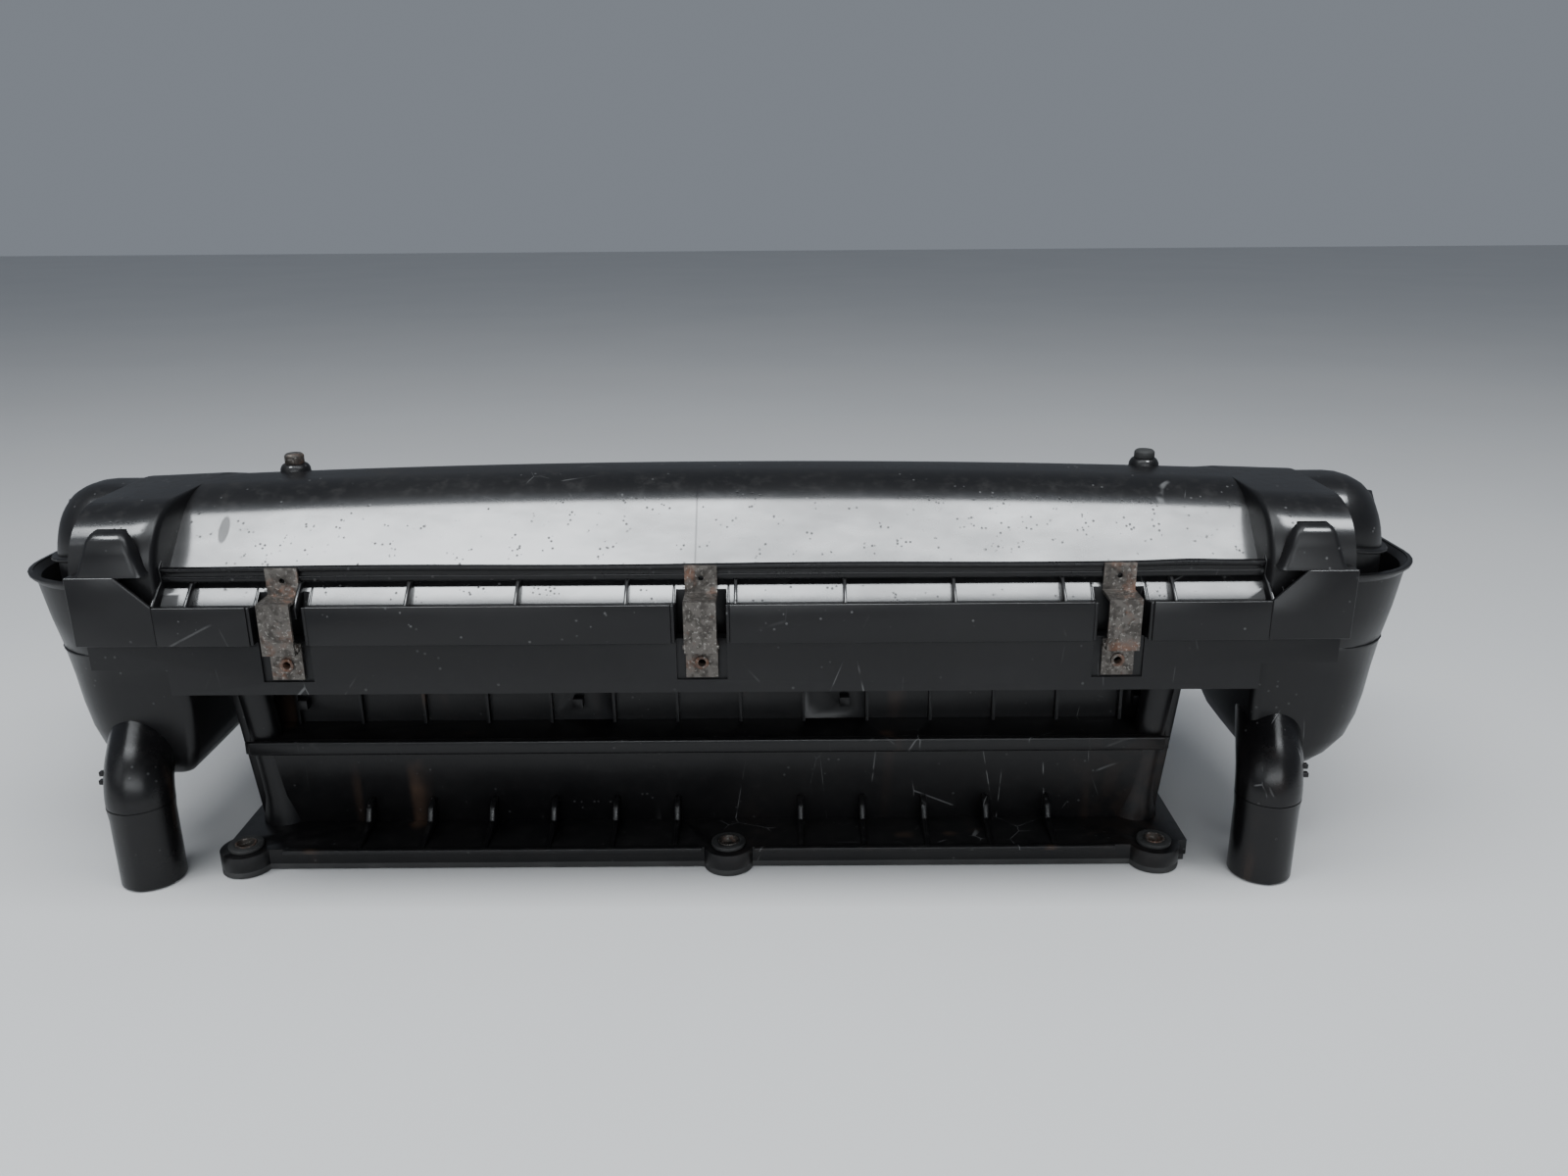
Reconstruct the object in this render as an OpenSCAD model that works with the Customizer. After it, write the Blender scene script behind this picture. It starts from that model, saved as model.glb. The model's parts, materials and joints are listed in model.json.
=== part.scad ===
// Air filter housing: a clipped cover over a filter tray, an outlet duct with a
// bolted flange below it, and a drain bowl with a spout at each end.
// Millimetres. X runs along the housing, +Y to the rear, +Z up, and the origin
// is under the middle of the whole housing on the surface that it stands on.

/* [Housing] */
// Width of the front board of the cover
board_w = 546; // [450:1:660]
// Depth from the front board's face to the rear wall
depth = 250; // [205:1:310]
// Height of the seam between the tray and the cover
seam_z = 138.6; // [125:0.1:170]
// Height of the cover from the seam to its crest
cover_h = 61.4; // [58:0.1:75]
// Wall thickness of the mouldings
wall = 2.8; // [2.2:0.1:3.4]
// Drop of the crest from the middle to the board's ends
crown = 6; // [3:0.5:8]
// Width of each solid end block beside the gutter
shoulder_w = 35; // [30:1:42]

/* [Front board and gutter] */
// Height of the front board above the seam
board_h = 17.4; // [14:0.1:20]
// Height of the board's raised ends above the seam
board_end_h = 31; // [28:0.5:33]
// Thickness of the front board
board_t = 2.2; // [1.8:0.1:3]
// Depth of the drain gutter behind the board
gutter_d = 5.8; // [5:0.1:7]
// Set-back of the tray's front face behind the cover's board
tray_setback = 5; // [4:0.1:6]
// Height of the tray's front board
tray_h = 24.6; // [22:0.1:28]
// Spacing of the thin ribs across the gutter
gutter_rib_pitch = 47; // [38:1:60]
// Height of the loose rail above the gutter
rail_h = 6.5; // [5:0.1:8]
// Thickness of the rail
rail_t = 2.5; // [2:0.1:3]

/* [Clips] */
// Distance of the outer clips inside the gutter's ends
clip_inset = 57.5; // [48:0.5:70]
// Shift of the middle clip from the housing's middle
clip_shift = -5; // [-15:1:15]
// Width of a clip strap
strap_w = 14; // [12:0.5:17]
// Thickness of the clip strip
strap_t = 1.4; // [1.1:0.1:1.7]
// Radius of a clip's hinge pin
pin_r = 1; // [0.8:0.05:1.2]
// Radial clearance of the strap's knuckles on the pin
pin_clearance = 0.05; // [0.03:0.01:0.1]
// Radius of the hollow rivet's hole
rivet_bore_r = 1.7; // [1.3:0.1:1.9]

/* [Outlet duct] */
// Shift of the outlet duct and the spouts from the housing's middle
outlet_shift = -9; // [-12:1:12]
// Distance of the duct's foot inside the board's end, on each side
duct_side = 42; // [36:1:60]
// Extra width of the duct at its top, both sides together
duct_flare = 22; // [10:1:30]
// Distance of the duct's front wall behind the front board's face
duct_front = 80; // [74:1:96]
// Height of the ledge on the duct's front
ledge_z = 52; // [44:1:62]
// Depth of the recess between the ledge and the tray
recess_d = 22; // [16:1:26]
// Thickness of the flange
flange_t = 8; // [6:0.5:10]
// Reach of the flange in front of the duct
flange_reach = 33; // [26:1:38]
// Thickness of the foam seal under the flange
seal_t = 3; // [2:0.5:4]
// Spacing of the gussets on the flange
gusset_pitch = 31.65; // [26:0.05:38]
// Bore radius of the steel sleeves in the flange
sleeve_r = 4.2; // [3.3:0.1:4.3]
// Wall of the steel sleeves
sleeve_wall = 1; // [0.8:0.1:1.3]
// Outer radius of the rubber bushes
bush_r = 8.5; // [7.5:0.1:9]

/* [Drain bowls and spouts] */
// Reach of each drain bowl beyond the board's end
bowl_reach = 62; // [54:1:76]
// Height of the drain bowls' rim above the seam
bowl_rim = 14; // [11:0.5:17]
// Outer radius of the drain spouts
spout_r = 15; // [13:0.5:17]
// Wall of the drain spouts
spout_wall = 2; // [1.6:0.1:2.6]
// Length of a spout's straight lower stretch
spout_len = 52; // [44:1:58]

/* [Filter] */
// Height of the filter element
filter_h = 30; // [25:1:36]
// Wall of the filter's frame
filter_wall = 5; // [4:0.5:6]
// Spacing of the filter's pleats
pleat_pitch = 11; // [9:0.5:14]
// Thickness of the rubber seal under the filter
filter_seal_t = 3; // [2:0.5:4]

/* [Hidden] */
$fn = 32;

side = 0.1;                                  // overrun of a cut past a face
slice = 1;                                   // thickness of a slice that a hull joins
top_z = seam_z + cover_h;
board_x = board_w / 2;
gutter_x = board_x - shoulder_w;             // where the slope meets the end blocks
clip_pitch = gutter_x - clip_inset;
duct_w = board_w - 2 * duct_side;            // width of the duct at its foot
front_y = board_t + gutter_d;                // front wall of the cover proper
gasket_t = 1.2;
cover_z = seam_z + gasket_t;
gutter_z = seam_z + 11.4;                    // floor of the gutter
slope_z = seam_z + 15.4;                     // where the slope starts
slope_run = min(35, top_z - 11 - slope_z);   // length of the 45 degree stretch
crest_y = front_y + slope_run + 23;
tray_z = seam_z - tray_h;
tray_y = tray_setback;
tab_h = 12.6;                                // height of the tray's narrow ends
rear_y = depth;
bowl_x = board_x + bowl_reach;
bowl_front = 45;
bowl_back = depth - 30;
cap_x = bowl_x - 18;                         // reach of the cover's end caps

// Clips, seen from the side: the hinge pin lies in front of the tray's board.
clip_x = [for (i = [-1:1]) clip_shift + i * clip_pitch];
pocket_w = strap_w + 8;
lining_w = pocket_w + 3.2;                    // over the walls of a clip's channel
clip_shelf = lining_w + 2 * wall;
pin_y = 1;
pin_z = seam_z - 2.1;
knuckle_r = pin_r + 1;
knuckle_w = 5;
knuckle_gap = 0.25;
foot_y = tray_y + 1.5;                       // back of the foot plate, in its pocket
foot_low = tray_z + 7;
rail_y = front_y + 5;
rail_z = slope_z + 9.5;
pocket_y = rail_y;
strap_y = pin_y - knuckle_r + 0.2;           // inner face of the strap
rivet_r = rivet_bore_r + 0.5;
rivet_z = foot_low + 7;
strap_front = strap_y - strap_t;
strap_top = rail_z + rail_h;

// The whole housing is centred on the origin from the straps to the rear wall.
centre_y = (strap_front + rear_y) / 2;

duct_back = depth - 55;
duct_top_w = duct_w + duct_flare;
flange_z = seal_t;
flange_top = flange_z + flange_t;
flange_front = duct_front - flange_reach;
flange_back = duct_back + 12;
ear_y = flange_front + 7;
ear_r = bush_r + 4;
ear_x = [outlet_shift - duct_w / 2, outlet_shift + 11, outlet_shift + duct_w / 2 - 7];
ledge_t = 6;
ledge_y = duct_front - 5;
recess_rib_pitch = 33;
recess_rib_span = floor((duct_w / 2 - 10) / recess_rib_pitch - 0.5) + 0.5;
gusset_span = floor((duct_w / 2 - 40) / gusset_pitch - 0.5) + 0.5;
catch_w = 5;
gusset_h = 7;
recess_y = duct_front + recess_d;
spout_x = board_x + 2;
spout_y = bowl_front;
spout_top = [spout_x + 8, bowl_front + 34, spout_len + 24];
shoulder = 10;
tab_w = 6;
stud_x = gutter_x - 34;
stud_y = crest_y + 22;
stud_seat = top_z - 0.6;

filter_half = duct_w / 2 - 15;
filter_front = recess_y - 11;
filter_back = duct_back + 13;
filter_low = tray_z + wall + filter_seal_t;

PLASTIC = [0.07, 0.07, 0.075];
STEEL = [0.45, 0.40, 0.36];
RUBBER = [0.10, 0.10, 0.10];

// Puts a piece into the centred frame.
module place() translate([0, -centre_y, 0]) children();

// A side outline in Y and Z, extruded along X between two places.
module along_x(x0, x1) translate([x0, 0, 0]) rotate([90, 0, 90])
    linear_extrude(x1 - x0) children();

// A block given by its two corners.
module block(low, high) translate(low) cube(high - low);

// ---- Cover --------------------------------------------------------------

// Side outline of the cover, with its crest lowered by drop.
module cover_section(drop, low) {
    crest = top_z - drop;
    polygon([[front_y, low], [front_y, crest - 28], [front_y + 4, crest - 16],
             [front_y + 16, crest - 6], [front_y + 37, crest - 1], [crest_y, crest],
             [crest_y + 18, crest], [rear_y - 90, crest - 17], [rear_y - 25, crest - 32],
             [rear_y - 6, crest - 36.5], [rear_y, crest - 41], [rear_y, low]]);
}

// The crowned body between the board's ends.
module cover_body(inset, low) hull()
    for (share = [-1, -0.7, -0.35, 0, 0.35, 0.7, 1]) {
        x = share * (board_x + 2 - inset - slice / 2) - slice / 2;
        translate([x, 0, 0]) rotate([90, 0, 90]) linear_extrude(slice)
            offset(delta = -inset) cover_section(crown * share * share, low);
    }

// One slice of an end cap, whose top falls towards the rear.
module cap_section(y0, y1, top, low, fall) polygon([[y0, low], [y0, top - 18],
    [y0 + 8, top - 6], [y0 + 24, top], [y1 - 24, top - fall], [y1 - 8, top - fall - 6],
    [y1, top - fall - 16], [y1, low]]);

// The rounded end of the cover on the right.
module cover_cap(inset, low) {
    y0 = bowl_front + 8 + inset;
    y1 = bowl_back - 8 - inset;
    hull() {
        translate([gutter_x, 0, 0]) rotate([90, 0, 90]) linear_extrude(slice)
            cap_section(y0, y1, top_z - crown - inset, low, 26);
        translate([cap_x - 26 - inset, 0, 0]) rotate([90, 0, 90]) linear_extrude(slice)
            cap_section(y0, y1, top_z - crown - 3 - inset, low, 26);
        translate([cap_x - 9 - inset, 0, 0]) rotate([90, 0, 90]) linear_extrude(slice)
            cap_section(y0 + 9, y1 - 9, top_z - crown - 12 - inset, low, 22);
        translate([cap_x - inset - slice, 0, 0]) rotate([90, 0, 90]) linear_extrude(slice)
            cap_section(y0 + 26, y1 - 26, top_z - crown - 26 - inset, low, 14);
    }
}

// Everything in front of the sloping face.
module slope_wedge(grow) along_x(-gutter_x - grow, gutter_x + grow) offset(delta = grow)
    polygon([[-20, slope_z], [front_y, slope_z], [front_y + slope_run, slope_z + slope_run],
             [crest_y, top_z + 0.2], [crest_y, top_z + 40], [-20, top_z + 40]]);

// The board with its raised ends, seen from the front.
module board_face() polygon([[-board_x, seam_z], [board_x, seam_z],
    [board_x, seam_z + board_end_h], [gutter_x + 14, seam_z + board_end_h],
    [gutter_x, seam_z + board_h], [-gutter_x, seam_z + board_h],
    [-gutter_x - 14, seam_z + board_end_h], [-board_x, seam_z + board_end_h]]);

// The board, the gutter floor, the ribs and the lip that sits on the tray.
module cover_front() {
    translate([0, board_t, 0]) rotate([90, 0, 0]) linear_extrude(board_t) board_face();
    block([-board_x, side, gutter_z - 2.2], [board_x, front_y + side, gutter_z]);
    block([-board_x, side, cover_z], [board_x, front_y + side, cover_z + 2.2]);
    for (end = [-1, 1]) {
        block([end * board_x - 1.4 - end * 1.4, side, cover_z],
              [end * board_x + 1.4 - end * 1.4, front_y + side, seam_z + board_end_h]);
        block([end * (gutter_x + shoulder_w / 2) - shoulder_w / 2, side,
               seam_z + board_end_h - 2.2],
              [end * (gutter_x + shoulder_w / 2) + shoulder_w / 2, front_y + side,
               seam_z + board_end_h]);
        translate([end * (gutter_x + 0.5 * wall), 0, 0])
            along_x(0.3 - 0.5 * wall, 0.5 * wall - 0.3)
            polygon([[side, gutter_z], [side, seam_z + board_h],
                     [board_t, seam_z + board_h], [rail_y - 1, rail_z],
                     [front_y + 1, rail_z], [front_y + 1, gutter_z]]);
    }
    count = floor(gutter_x / gutter_rib_pitch);
    for (i = [-count:count]) translate([i * gutter_rib_pitch + 10, 0, 0])
        along_x(-0.8, 0.8) polygon([[board_t - side, gutter_z - side],
            [board_t - side, seam_z + board_h - 1], [rail_y, rail_z],
            [rail_y + rail_t, rail_z], [rail_y + rail_t + 2, rail_z - 2],
            [front_y + side, gutter_z - side]]);
}

// A trapezoid buttress in front of an end block.
module buttress() {
    foot = seam_z + board_end_h - side;
    translate([0, front_y + 2, 0]) rotate([90, 0, 0]) linear_extrude(6)
        polygon([[-13, foot], [13, foot], [8, foot + 17], [-8, foot + 17]]);
}

// The open channels that let the clips swing.
module clip_channel() for (x = clip_x)
    block([x - pocket_w / 2, -side, seam_z - side], [x + pocket_w / 2, pocket_y, rail_z]);

module cover_cavity() difference() {
    union() {
        cover_body(wall, seam_z - 20);
        for (end = [0, 1]) mirror([end, 0, 0]) cover_cap(wall, seam_z - 40);
    }
    slope_wedge(wall);
    clip_lining();
}

// Walls round the clips' channels.
module clip_lining() for (x = clip_x)
    block([x - lining_w / 2, side, seam_z + 0.01],
          [x + lining_w / 2, pocket_y + wall, rail_z - 2.4]);

intake_half = gutter_x - 18;
intake_low = cover_z + 3;
intake_high = top_z - 44;

module cover() color(PLASTIC) place() difference() {
    union() {
        difference() {
            union() {
                cover_body(0, cover_z);
                for (end = [0, 1]) mirror([end, 0, 0]) cover_cap(0, seam_z - 12);
            }
            slope_wedge(0);
            cover_cavity();
        }
        cover_front();
        for (end = [-1, 1]) translate([end * (board_x - 17), 0, 0]) buttress();
        for (end = [-1, 1]) translate([end * stud_x, stud_y, top_z - 7])
            cylinder(r = 7, h = stud_seat - top_z + 7);
        difference() {
            clip_lining();
            slope_wedge(0);
        }
    }
    clip_channel();
    block([-gutter_x - wall - 1, bowl_front, seam_z - 20],
          [gutter_x + wall + 1, bowl_back, cover_z]);
    for (end = [-1, 1]) translate([end * stud_x, stud_y, top_z - 20]) cylinder(r = 2.5, h = 40);
    block([-intake_half, rear_y - 8, intake_low], [intake_half, rear_y + 8, intake_high]);
}

// A loose rail that lies on the gutter's ribs between the end blocks.
module front_rail() color(PLASTIC) place()
    block([-gutter_x, rail_y, rail_z], [gutter_x, rail_y + rail_t, rail_z + rail_h]);

// A framed grid that fills the intake in the rear wall.
module intake_grille() color(PLASTIC) place() {
    rim = 2.5;
    y0 = rear_y - wall;
    y1 = rear_y - 0.4;
    difference() {
        block([-intake_half, y0, intake_low], [intake_half, y1, intake_high]);
        block([-intake_half + rim, y0 - 1, intake_low + rim],
              [intake_half - rim, y1 + 1, intake_high - rim]);
    }
    count = floor(intake_half / 12) - 1;
    for (i = [-count:count])
        block([i * 12 - 0.9, y0, intake_low + rim - side],
              [i * 12 + 0.9, y1, intake_high - rim + side]);
}

// A stem through the cover with a round head on its seat.
module seated_stem(head_r, head_h) rotate_extrude() polygon([[0, stud_seat - 12],
    [2.5, stud_seat - 12], [2.5, stud_seat], [head_r, stud_seat],
    [head_r, stud_seat + head_h - 1], [head_r - 1, stud_seat + head_h], [0, stud_seat + head_h]]);

module top_stud() color(STEEL) place() translate([-stud_x, stud_y, 0]) seated_stem(4.5, 5);

module top_buffer() color(RUBBER) place() translate([stud_x, stud_y, 0]) seated_stem(4.8, 4);

// A flat gasket round the tray's rim, led behind the clips' channels.
module cover_gasket() color(RUBBER) place() difference() {
    union() {
        difference() {
            block([-gutter_x, tray_y, seam_z], [gutter_x, rear_y, cover_z]);
            block([-gutter_x + wall, front_y + wall, seam_z - 1],
                  [gutter_x - wall, rear_y - wall, cover_z + 1]);
        }
        for (x = clip_x)
            block([x - clip_shelf / 2, front_y, seam_z],
                  [x + clip_shelf / 2, pocket_y + 2 * wall, cover_z]);
    }
    for (x = clip_x)
        block([x - lining_w / 2 - 0.2, tray_y - 1, seam_z - 1],
              [x + lining_w / 2 + 0.2, pocket_y + wall + 0.2, cover_z + 1]);
}

// ---- Tray ---------------------------------------------------------------

// Inside of the outlet duct, a little taller than the duct itself.
module duct_shape(inset, low, high) {
    foot = duct_w / 2 - inset;
    head = (duct_w + duct_flare) / 2 - inset;
    hull() {
        block([outlet_shift - foot, duct_front + inset, low],
              [outlet_shift + foot, duct_back - inset, low + 0.01]);
        block([outlet_shift - head, duct_front - 2 + inset, high - 0.01],
              [outlet_shift + head, duct_back + 5 - inset, high]);
    }
}

// The way down from the tray into the duct.
tray_hole = [[outlet_shift - filter_half + 12, recess_y + wall, tray_z - 1],
             [outlet_shift + filter_half - 12, duct_back - wall, tray_z + 20]];

module filter_tray() color(PLASTIC) place() difference() {
    union() {
        block([-gutter_x, tray_y, tray_z], [gutter_x, rear_y, seam_z]);
        for (y = [[tray_y, bowl_front - 0.2], [bowl_back + 0.2, rear_y]])
            block([-board_x + 2, y[0], seam_z - tab_h], [board_x - 2, y[1], seam_z]);
    }
    difference() {
        union() {
            block([-gutter_x + wall, front_y + side, tray_z + wall],
                  [gutter_x - wall, rear_y - wall, seam_z + 1]);
            for (y = [[front_y + side, bowl_front - 0.2 - wall],
                      [bowl_back + 0.2 + wall, rear_y - wall]])
                block([-board_x + 2 + wall, y[0], seam_z - tab_h + wall],
                      [board_x - 2 - wall, y[1], seam_z + 1]);
        }
        for (x = clip_x)
            block([x - clip_shelf / 2, front_y, seam_z - 6],
                  [x + clip_shelf / 2, pocket_y + 2 * wall, seam_z]);
    }
    block(tray_hole[0], tray_hole[1]);
    for (x = clip_x) {
        block([x - pocket_w / 2, tray_y - 1, foot_low - 1],
              [x + pocket_w / 2, foot_y, seam_z + 1]);
        translate([x, tray_y - 2, rivet_z]) rotate([-90, 0, 0]) cylinder(r = rivet_r, h = 8);
    }
}

// ---- Outlet duct --------------------------------------------------------

module recess_shape(grow) block(
    [outlet_shift - duct_w / 2 - 1 - grow, duct_front - 20, ledge_z + ledge_t - grow],
    [outlet_shift + duct_w / 2 + 1 + grow, recess_y + grow, tray_z + 20]);

module flange_outline(grow) {
    block([outlet_shift - duct_w / 2 - 10 - grow, flange_front + 8, 0],
          [outlet_shift + duct_w / 2 + 10 + grow, flange_back, 1]);
    block([ear_x[0], flange_front + 4, 0], [ear_x[2], flange_back, 1]);
}

module outlet_duct() color(PLASTIC) place() {
    difference() {
        duct_shape(0, flange_top, tray_z);
        recess_shape(0);
        difference() {
            duct_shape(wall, flange_top - 1, tray_z + 1);
            recess_shape(wall);
        }
    }
    block([outlet_shift - duct_w / 2 - 3, ledge_y, ledge_z],
          [outlet_shift + duct_w / 2 + 3, duct_front + wall, ledge_z + 1.8]);
    block([outlet_shift - duct_w / 2 - 3, ledge_y, ledge_z],
          [outlet_shift + duct_w / 2 + 3, ledge_y + 1.8, ledge_z + ledge_t]);
    for (i = [-recess_rib_span:recess_rib_span])
        translate([outlet_shift + i * recess_rib_pitch, 0, 0])
        block([-0.8, recess_y - 4, ledge_z + ledge_t], [0.8, recess_y + side, tray_z]);
    for (x = [-0.47, -0.16, 0.14, 0.47] * duct_w) for (step = [-6, 6])
        translate([outlet_shift + x + step, 0, ledge_z + ledge_t + 15 - step])
            block([-catch_w / 2, recess_y - 6, 0], [catch_w / 2, recess_y + side, catch_w]);
}

// The bolted flange at the duct's foot, with its ears and gussets.
module duct_flange() color(PLASTIC) place() difference() {
    union() {
        difference() {
            union() {
                translate([0, 0, flange_z]) scale([1, 1, flange_t]) flange_outline(0);
                for (x = ear_x) translate([x, ear_y, flange_z]) cylinder(r = ear_r, h = flange_t);
            }
            block([outlet_shift - duct_w / 2 + wall, duct_front + wall, flange_z - 1],
                  [outlet_shift + duct_w / 2 - wall, duct_back - wall, flange_top + 1]);
        }
        for (i = [-gusset_span:gusset_span]) if (abs(i - 0.5) > 0.1)
            translate([outlet_shift + i * gusset_pitch, 0, 0]) along_x(-1.2, 1.2)
                polygon([[flange_front + 5, flange_top - side], [duct_front - 0.1, flange_top - side],
                         [duct_front - 0.3, flange_top + gusset_h],
                         [duct_front - 5, flange_top + gusset_h]]);
    }
    for (x = ear_x) translate([x, ear_y, -1]) cylinder(r = bush_r - 2, h = 30);
}

module flange_seal() color(RUBBER) place() difference() {
    union() {
        scale([1, 1, seal_t]) flange_outline(-1);
        for (x = ear_x) translate([x, ear_y, 0]) cylinder(r = ear_r, h = seal_t);
    }
    block([outlet_shift - duct_w / 2 + wall, duct_front + wall, -1],
          [outlet_shift + duct_w / 2 - wall, duct_back - wall, seal_t + 1]);
    for (x = ear_x) translate([x, ear_y, -1]) cylinder(r = bush_r + 0.5, h = seal_t + 2);
}

// Grooved rubber bushes that grip the flange's ears.
module flange_bushes() color(RUBBER) place() for (x = ear_x) translate([x, ear_y, 0])
    rotate_extrude() polygon([[sleeve_r + sleeve_wall, 0.6], [bush_r, 0.6], [bush_r, flange_z],
        [bush_r - 2, flange_z], [bush_r - 2, flange_top], [bush_r, flange_top],
        [bush_r, flange_top + 2], [sleeve_r + sleeve_wall, flange_top + 2]]);

module bush_sleeves() color(STEEL) place() for (x = ear_x) translate([x, ear_y, 0.4])
    difference() {
        cylinder(r = sleeve_r + sleeve_wall, h = flange_top + 2);
        translate([0, 0, -1]) cylinder(r = sleeve_r, h = flange_top + 4);
    }

// ---- Drain bowls and spouts ---------------------------------------------

// Upper and lower lobes of the right bowl.
module bowl_cup(inset, high) hull() {
    y0 = bowl_front + inset;
    y1 = bowl_back - inset;
    x0 = gutter_x + inset;
    x1 = bowl_x - inset;
    block([x0, y0, tray_z + inset], [x1 - 50, y1, tray_z + 1 + inset]);
    block([x1 - 30, y0 + 25, tray_z + inset], [x1 - 15, y1 - 25, tray_z + 1 + inset]);
    block([x0, y0, seam_z - 4], [x1 - 36, y1, high]);
    block([x1 - 20, y0 + 16, seam_z - 4], [x1 - 8, y1 - 16, high]);
    block([x1 - 8, y0 + 34, seam_z - 4], [x1, y1 - 34, high]);
}

module bowl_lobe(inset, high) hull() {
    y0 = bowl_front + 12 + inset;
    y1 = bowl_back - 16 - inset;
    x0 = board_x - 15 + inset;
    x1 = bowl_x - 13 - inset;
    block([x0, y0, high - 1], [x1 - 22, y1, high]);
    block([x1 - 8, y0 + 20, high - 1], [x1, y1 - 20, high]);
    block([x0, y0 + 6, seam_z - 64], [x1 - 22, y1 - 20, seam_z - 63]);
    block([x1 - 8, y0 + 24, seam_z - 64], [x1 - 2, y1 - 40, seam_z - 63]);
    block([x0 + 4, y0 + 10, seam_z - 94 + inset], [x1 - 34, y0 + 60, seam_z - 93 + inset]);
}

module bowl_port(r) straight_tube([spout_x, spout_y, spout_len], spout_top, r);

// A straight tube between two points.
module straight_tube(a, b, r) {
    d = b - a;
    turn = atan2(d[1], d[0]);
    tilt = acos(d[2] / norm(d));
    translate(a) rotate([0, tilt, turn]) cylinder(r = r, h = norm(d));
}

module drain_bowl() difference() {
    union() {
        bowl_cup(0, seam_z + bowl_rim);
        bowl_lobe(0, seam_z - 20);
    }
    bowl_cup(wall, seam_z + bowl_rim + 1);
    bowl_lobe(wall, seam_z - 16);
    block([gutter_x - 1, 0, seam_z], [board_x + 4, rear_y, top_z]);
    bowl_port(spout_r - spout_wall);
}

module left_drain_bowl() color(PLASTIC) place() mirror([1, 0, 0]) drain_bowl();
module right_drain_bowl() color(PLASTIC) place() drain_bowl();

// A drain spout: a straight foot, an elbow and a stub up to the bowl.
module spout_solid(r, low, bulge) {
    translate([spout_x, spout_y, low]) cylinder(r = r, h = spout_len - low);
    translate([spout_x, spout_y, spout_len]) sphere(r = r + bulge);
    bowl_port(r);
}

// The shoulder stops the hose below the elbow; the tab holds its clamp.
module drain_spout() {
    difference() {
        union() {
            spout_solid(spout_r, 0, 0.6);
            translate([spout_x, spout_y, spout_len - shoulder])
                cylinder(r = spout_r + 0.4, h = shoulder);
        }
        spout_solid(spout_r - spout_wall, -1, 0.3);
        bowl_lobe(0, seam_z - 20);
    }
    translate([spout_x + spout_r - 2, spout_y - tab_w / 2, spout_len - 1])
        cube([tab_w, tab_w, tab_w + 1]);
}

module left_spout() color(PLASTIC) place() translate([outlet_shift, 0, 0])
    mirror([1, 0, 0]) drain_spout();
module right_spout() color(PLASTIC) place() translate([outlet_shift, 0, 0]) drain_spout();

// ---- Clips --------------------------------------------------------------

// The plate riveted in the tray's pocket, with one knuckle of the hinge.
module clip_foot(x) color(STEEL) place() translate([x, 0, 0]) difference() {
    union() {
        block([-strap_w / 2, foot_y - strap_t, foot_low],
              [strap_w / 2, foot_y, pin_z + 1.3]);
        block([-knuckle_w / 2, pin_y, pin_z - 1.3], [knuckle_w / 2, foot_y - side, pin_z + 1.3]);
        translate([-knuckle_w / 2, pin_y, pin_z]) rotate([0, 90, 0])
            cylinder(r = knuckle_r - 0.4, h = knuckle_w);
    }
    translate([-strap_w, pin_y, pin_z]) rotate([0, 90, 0]) cylinder(r = pin_r, h = 2 * strap_w);
    translate([0, 0, rivet_z]) rotate([-90, 0, 0]) cylinder(r = rivet_r, h = 20);
}

module left_clip_foot() clip_foot(clip_x[0]);
module centre_clip_foot() clip_foot(clip_x[1]);
module right_clip_foot() clip_foot(clip_x[2]);

// The sprung strap: it rises in front of the board and hooks back to the rail.
module clip_strap(x) color(STEEL) place() translate([x, 0, 0]) difference() {
    hook_z = seam_z + board_h + 0.6;
    tab_y = pocket_y - 0.2;
    union() {
        along_x(-strap_w / 2, strap_w / 2)
            polygon([[strap_y, pin_z - 1.7], [strap_y, hook_z], [tab_y, hook_z],
                     [tab_y, strap_top], [tab_y - strap_t, strap_top],
                     [tab_y - strap_t, hook_z + strap_t], [strap_front, hook_z + strap_t],
                     [strap_front, pin_z - 1.7]]);
        for (end = [0, 1]) mirror([end, 0, 0])
            translate([knuckle_w / 2 + knuckle_gap, pin_y, pin_z]) rotate([0, 90, 0])
                cylinder(r = knuckle_r, h = (strap_w - knuckle_w) / 2 - knuckle_gap);
    }
    translate([-strap_w, pin_y, pin_z]) rotate([0, 90, 0])
        cylinder(r = pin_r + pin_clearance, h = 2 * strap_w);
    block([-knuckle_w / 2 - knuckle_gap, strap_y - 0.1, pin_z - 3],
          [knuckle_w / 2 + knuckle_gap, foot_y, pin_z + 3]);
    translate([0, 0, (hook_z + strap_top) / 2 + 1]) rotate([-90, 0, 0]) cylinder(r = 1.2, h = 20);
}

module left_clip_strap() clip_strap(clip_x[0]);
module centre_clip_strap() clip_strap(clip_x[1]);
module right_clip_strap() clip_strap(clip_x[2]);

module clip_hinge_pins() color(STEEL) place() for (x = clip_x)
    translate([x - strap_w / 2 - 0.8, pin_y, pin_z]) rotate([0, 90, 0])
        cylinder(r = pin_r, h = strap_w + 1.6);

// Hollow rivets through the foot plates and the tray's board.
module clip_rivets() color(STEEL) place() for (x = clip_x)
    translate([x, 0, rivet_z]) rotate([-90, 0, 0]) rotate_extrude()
        polygon([[rivet_bore_r, foot_y - strap_t - 0.8], [rivet_r + 0.8, foot_y - strap_t - 0.8],
                 [rivet_r + 0.8, foot_y - strap_t], [rivet_r, foot_y - strap_t],
                 [rivet_r, front_y + side], [rivet_r + 0.8, front_y + side],
                 [rivet_r + 0.8, front_y + side + 0.8], [rivet_bore_r, front_y + side + 0.8]]);

// ---- Filter -------------------------------------------------------------

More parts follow.
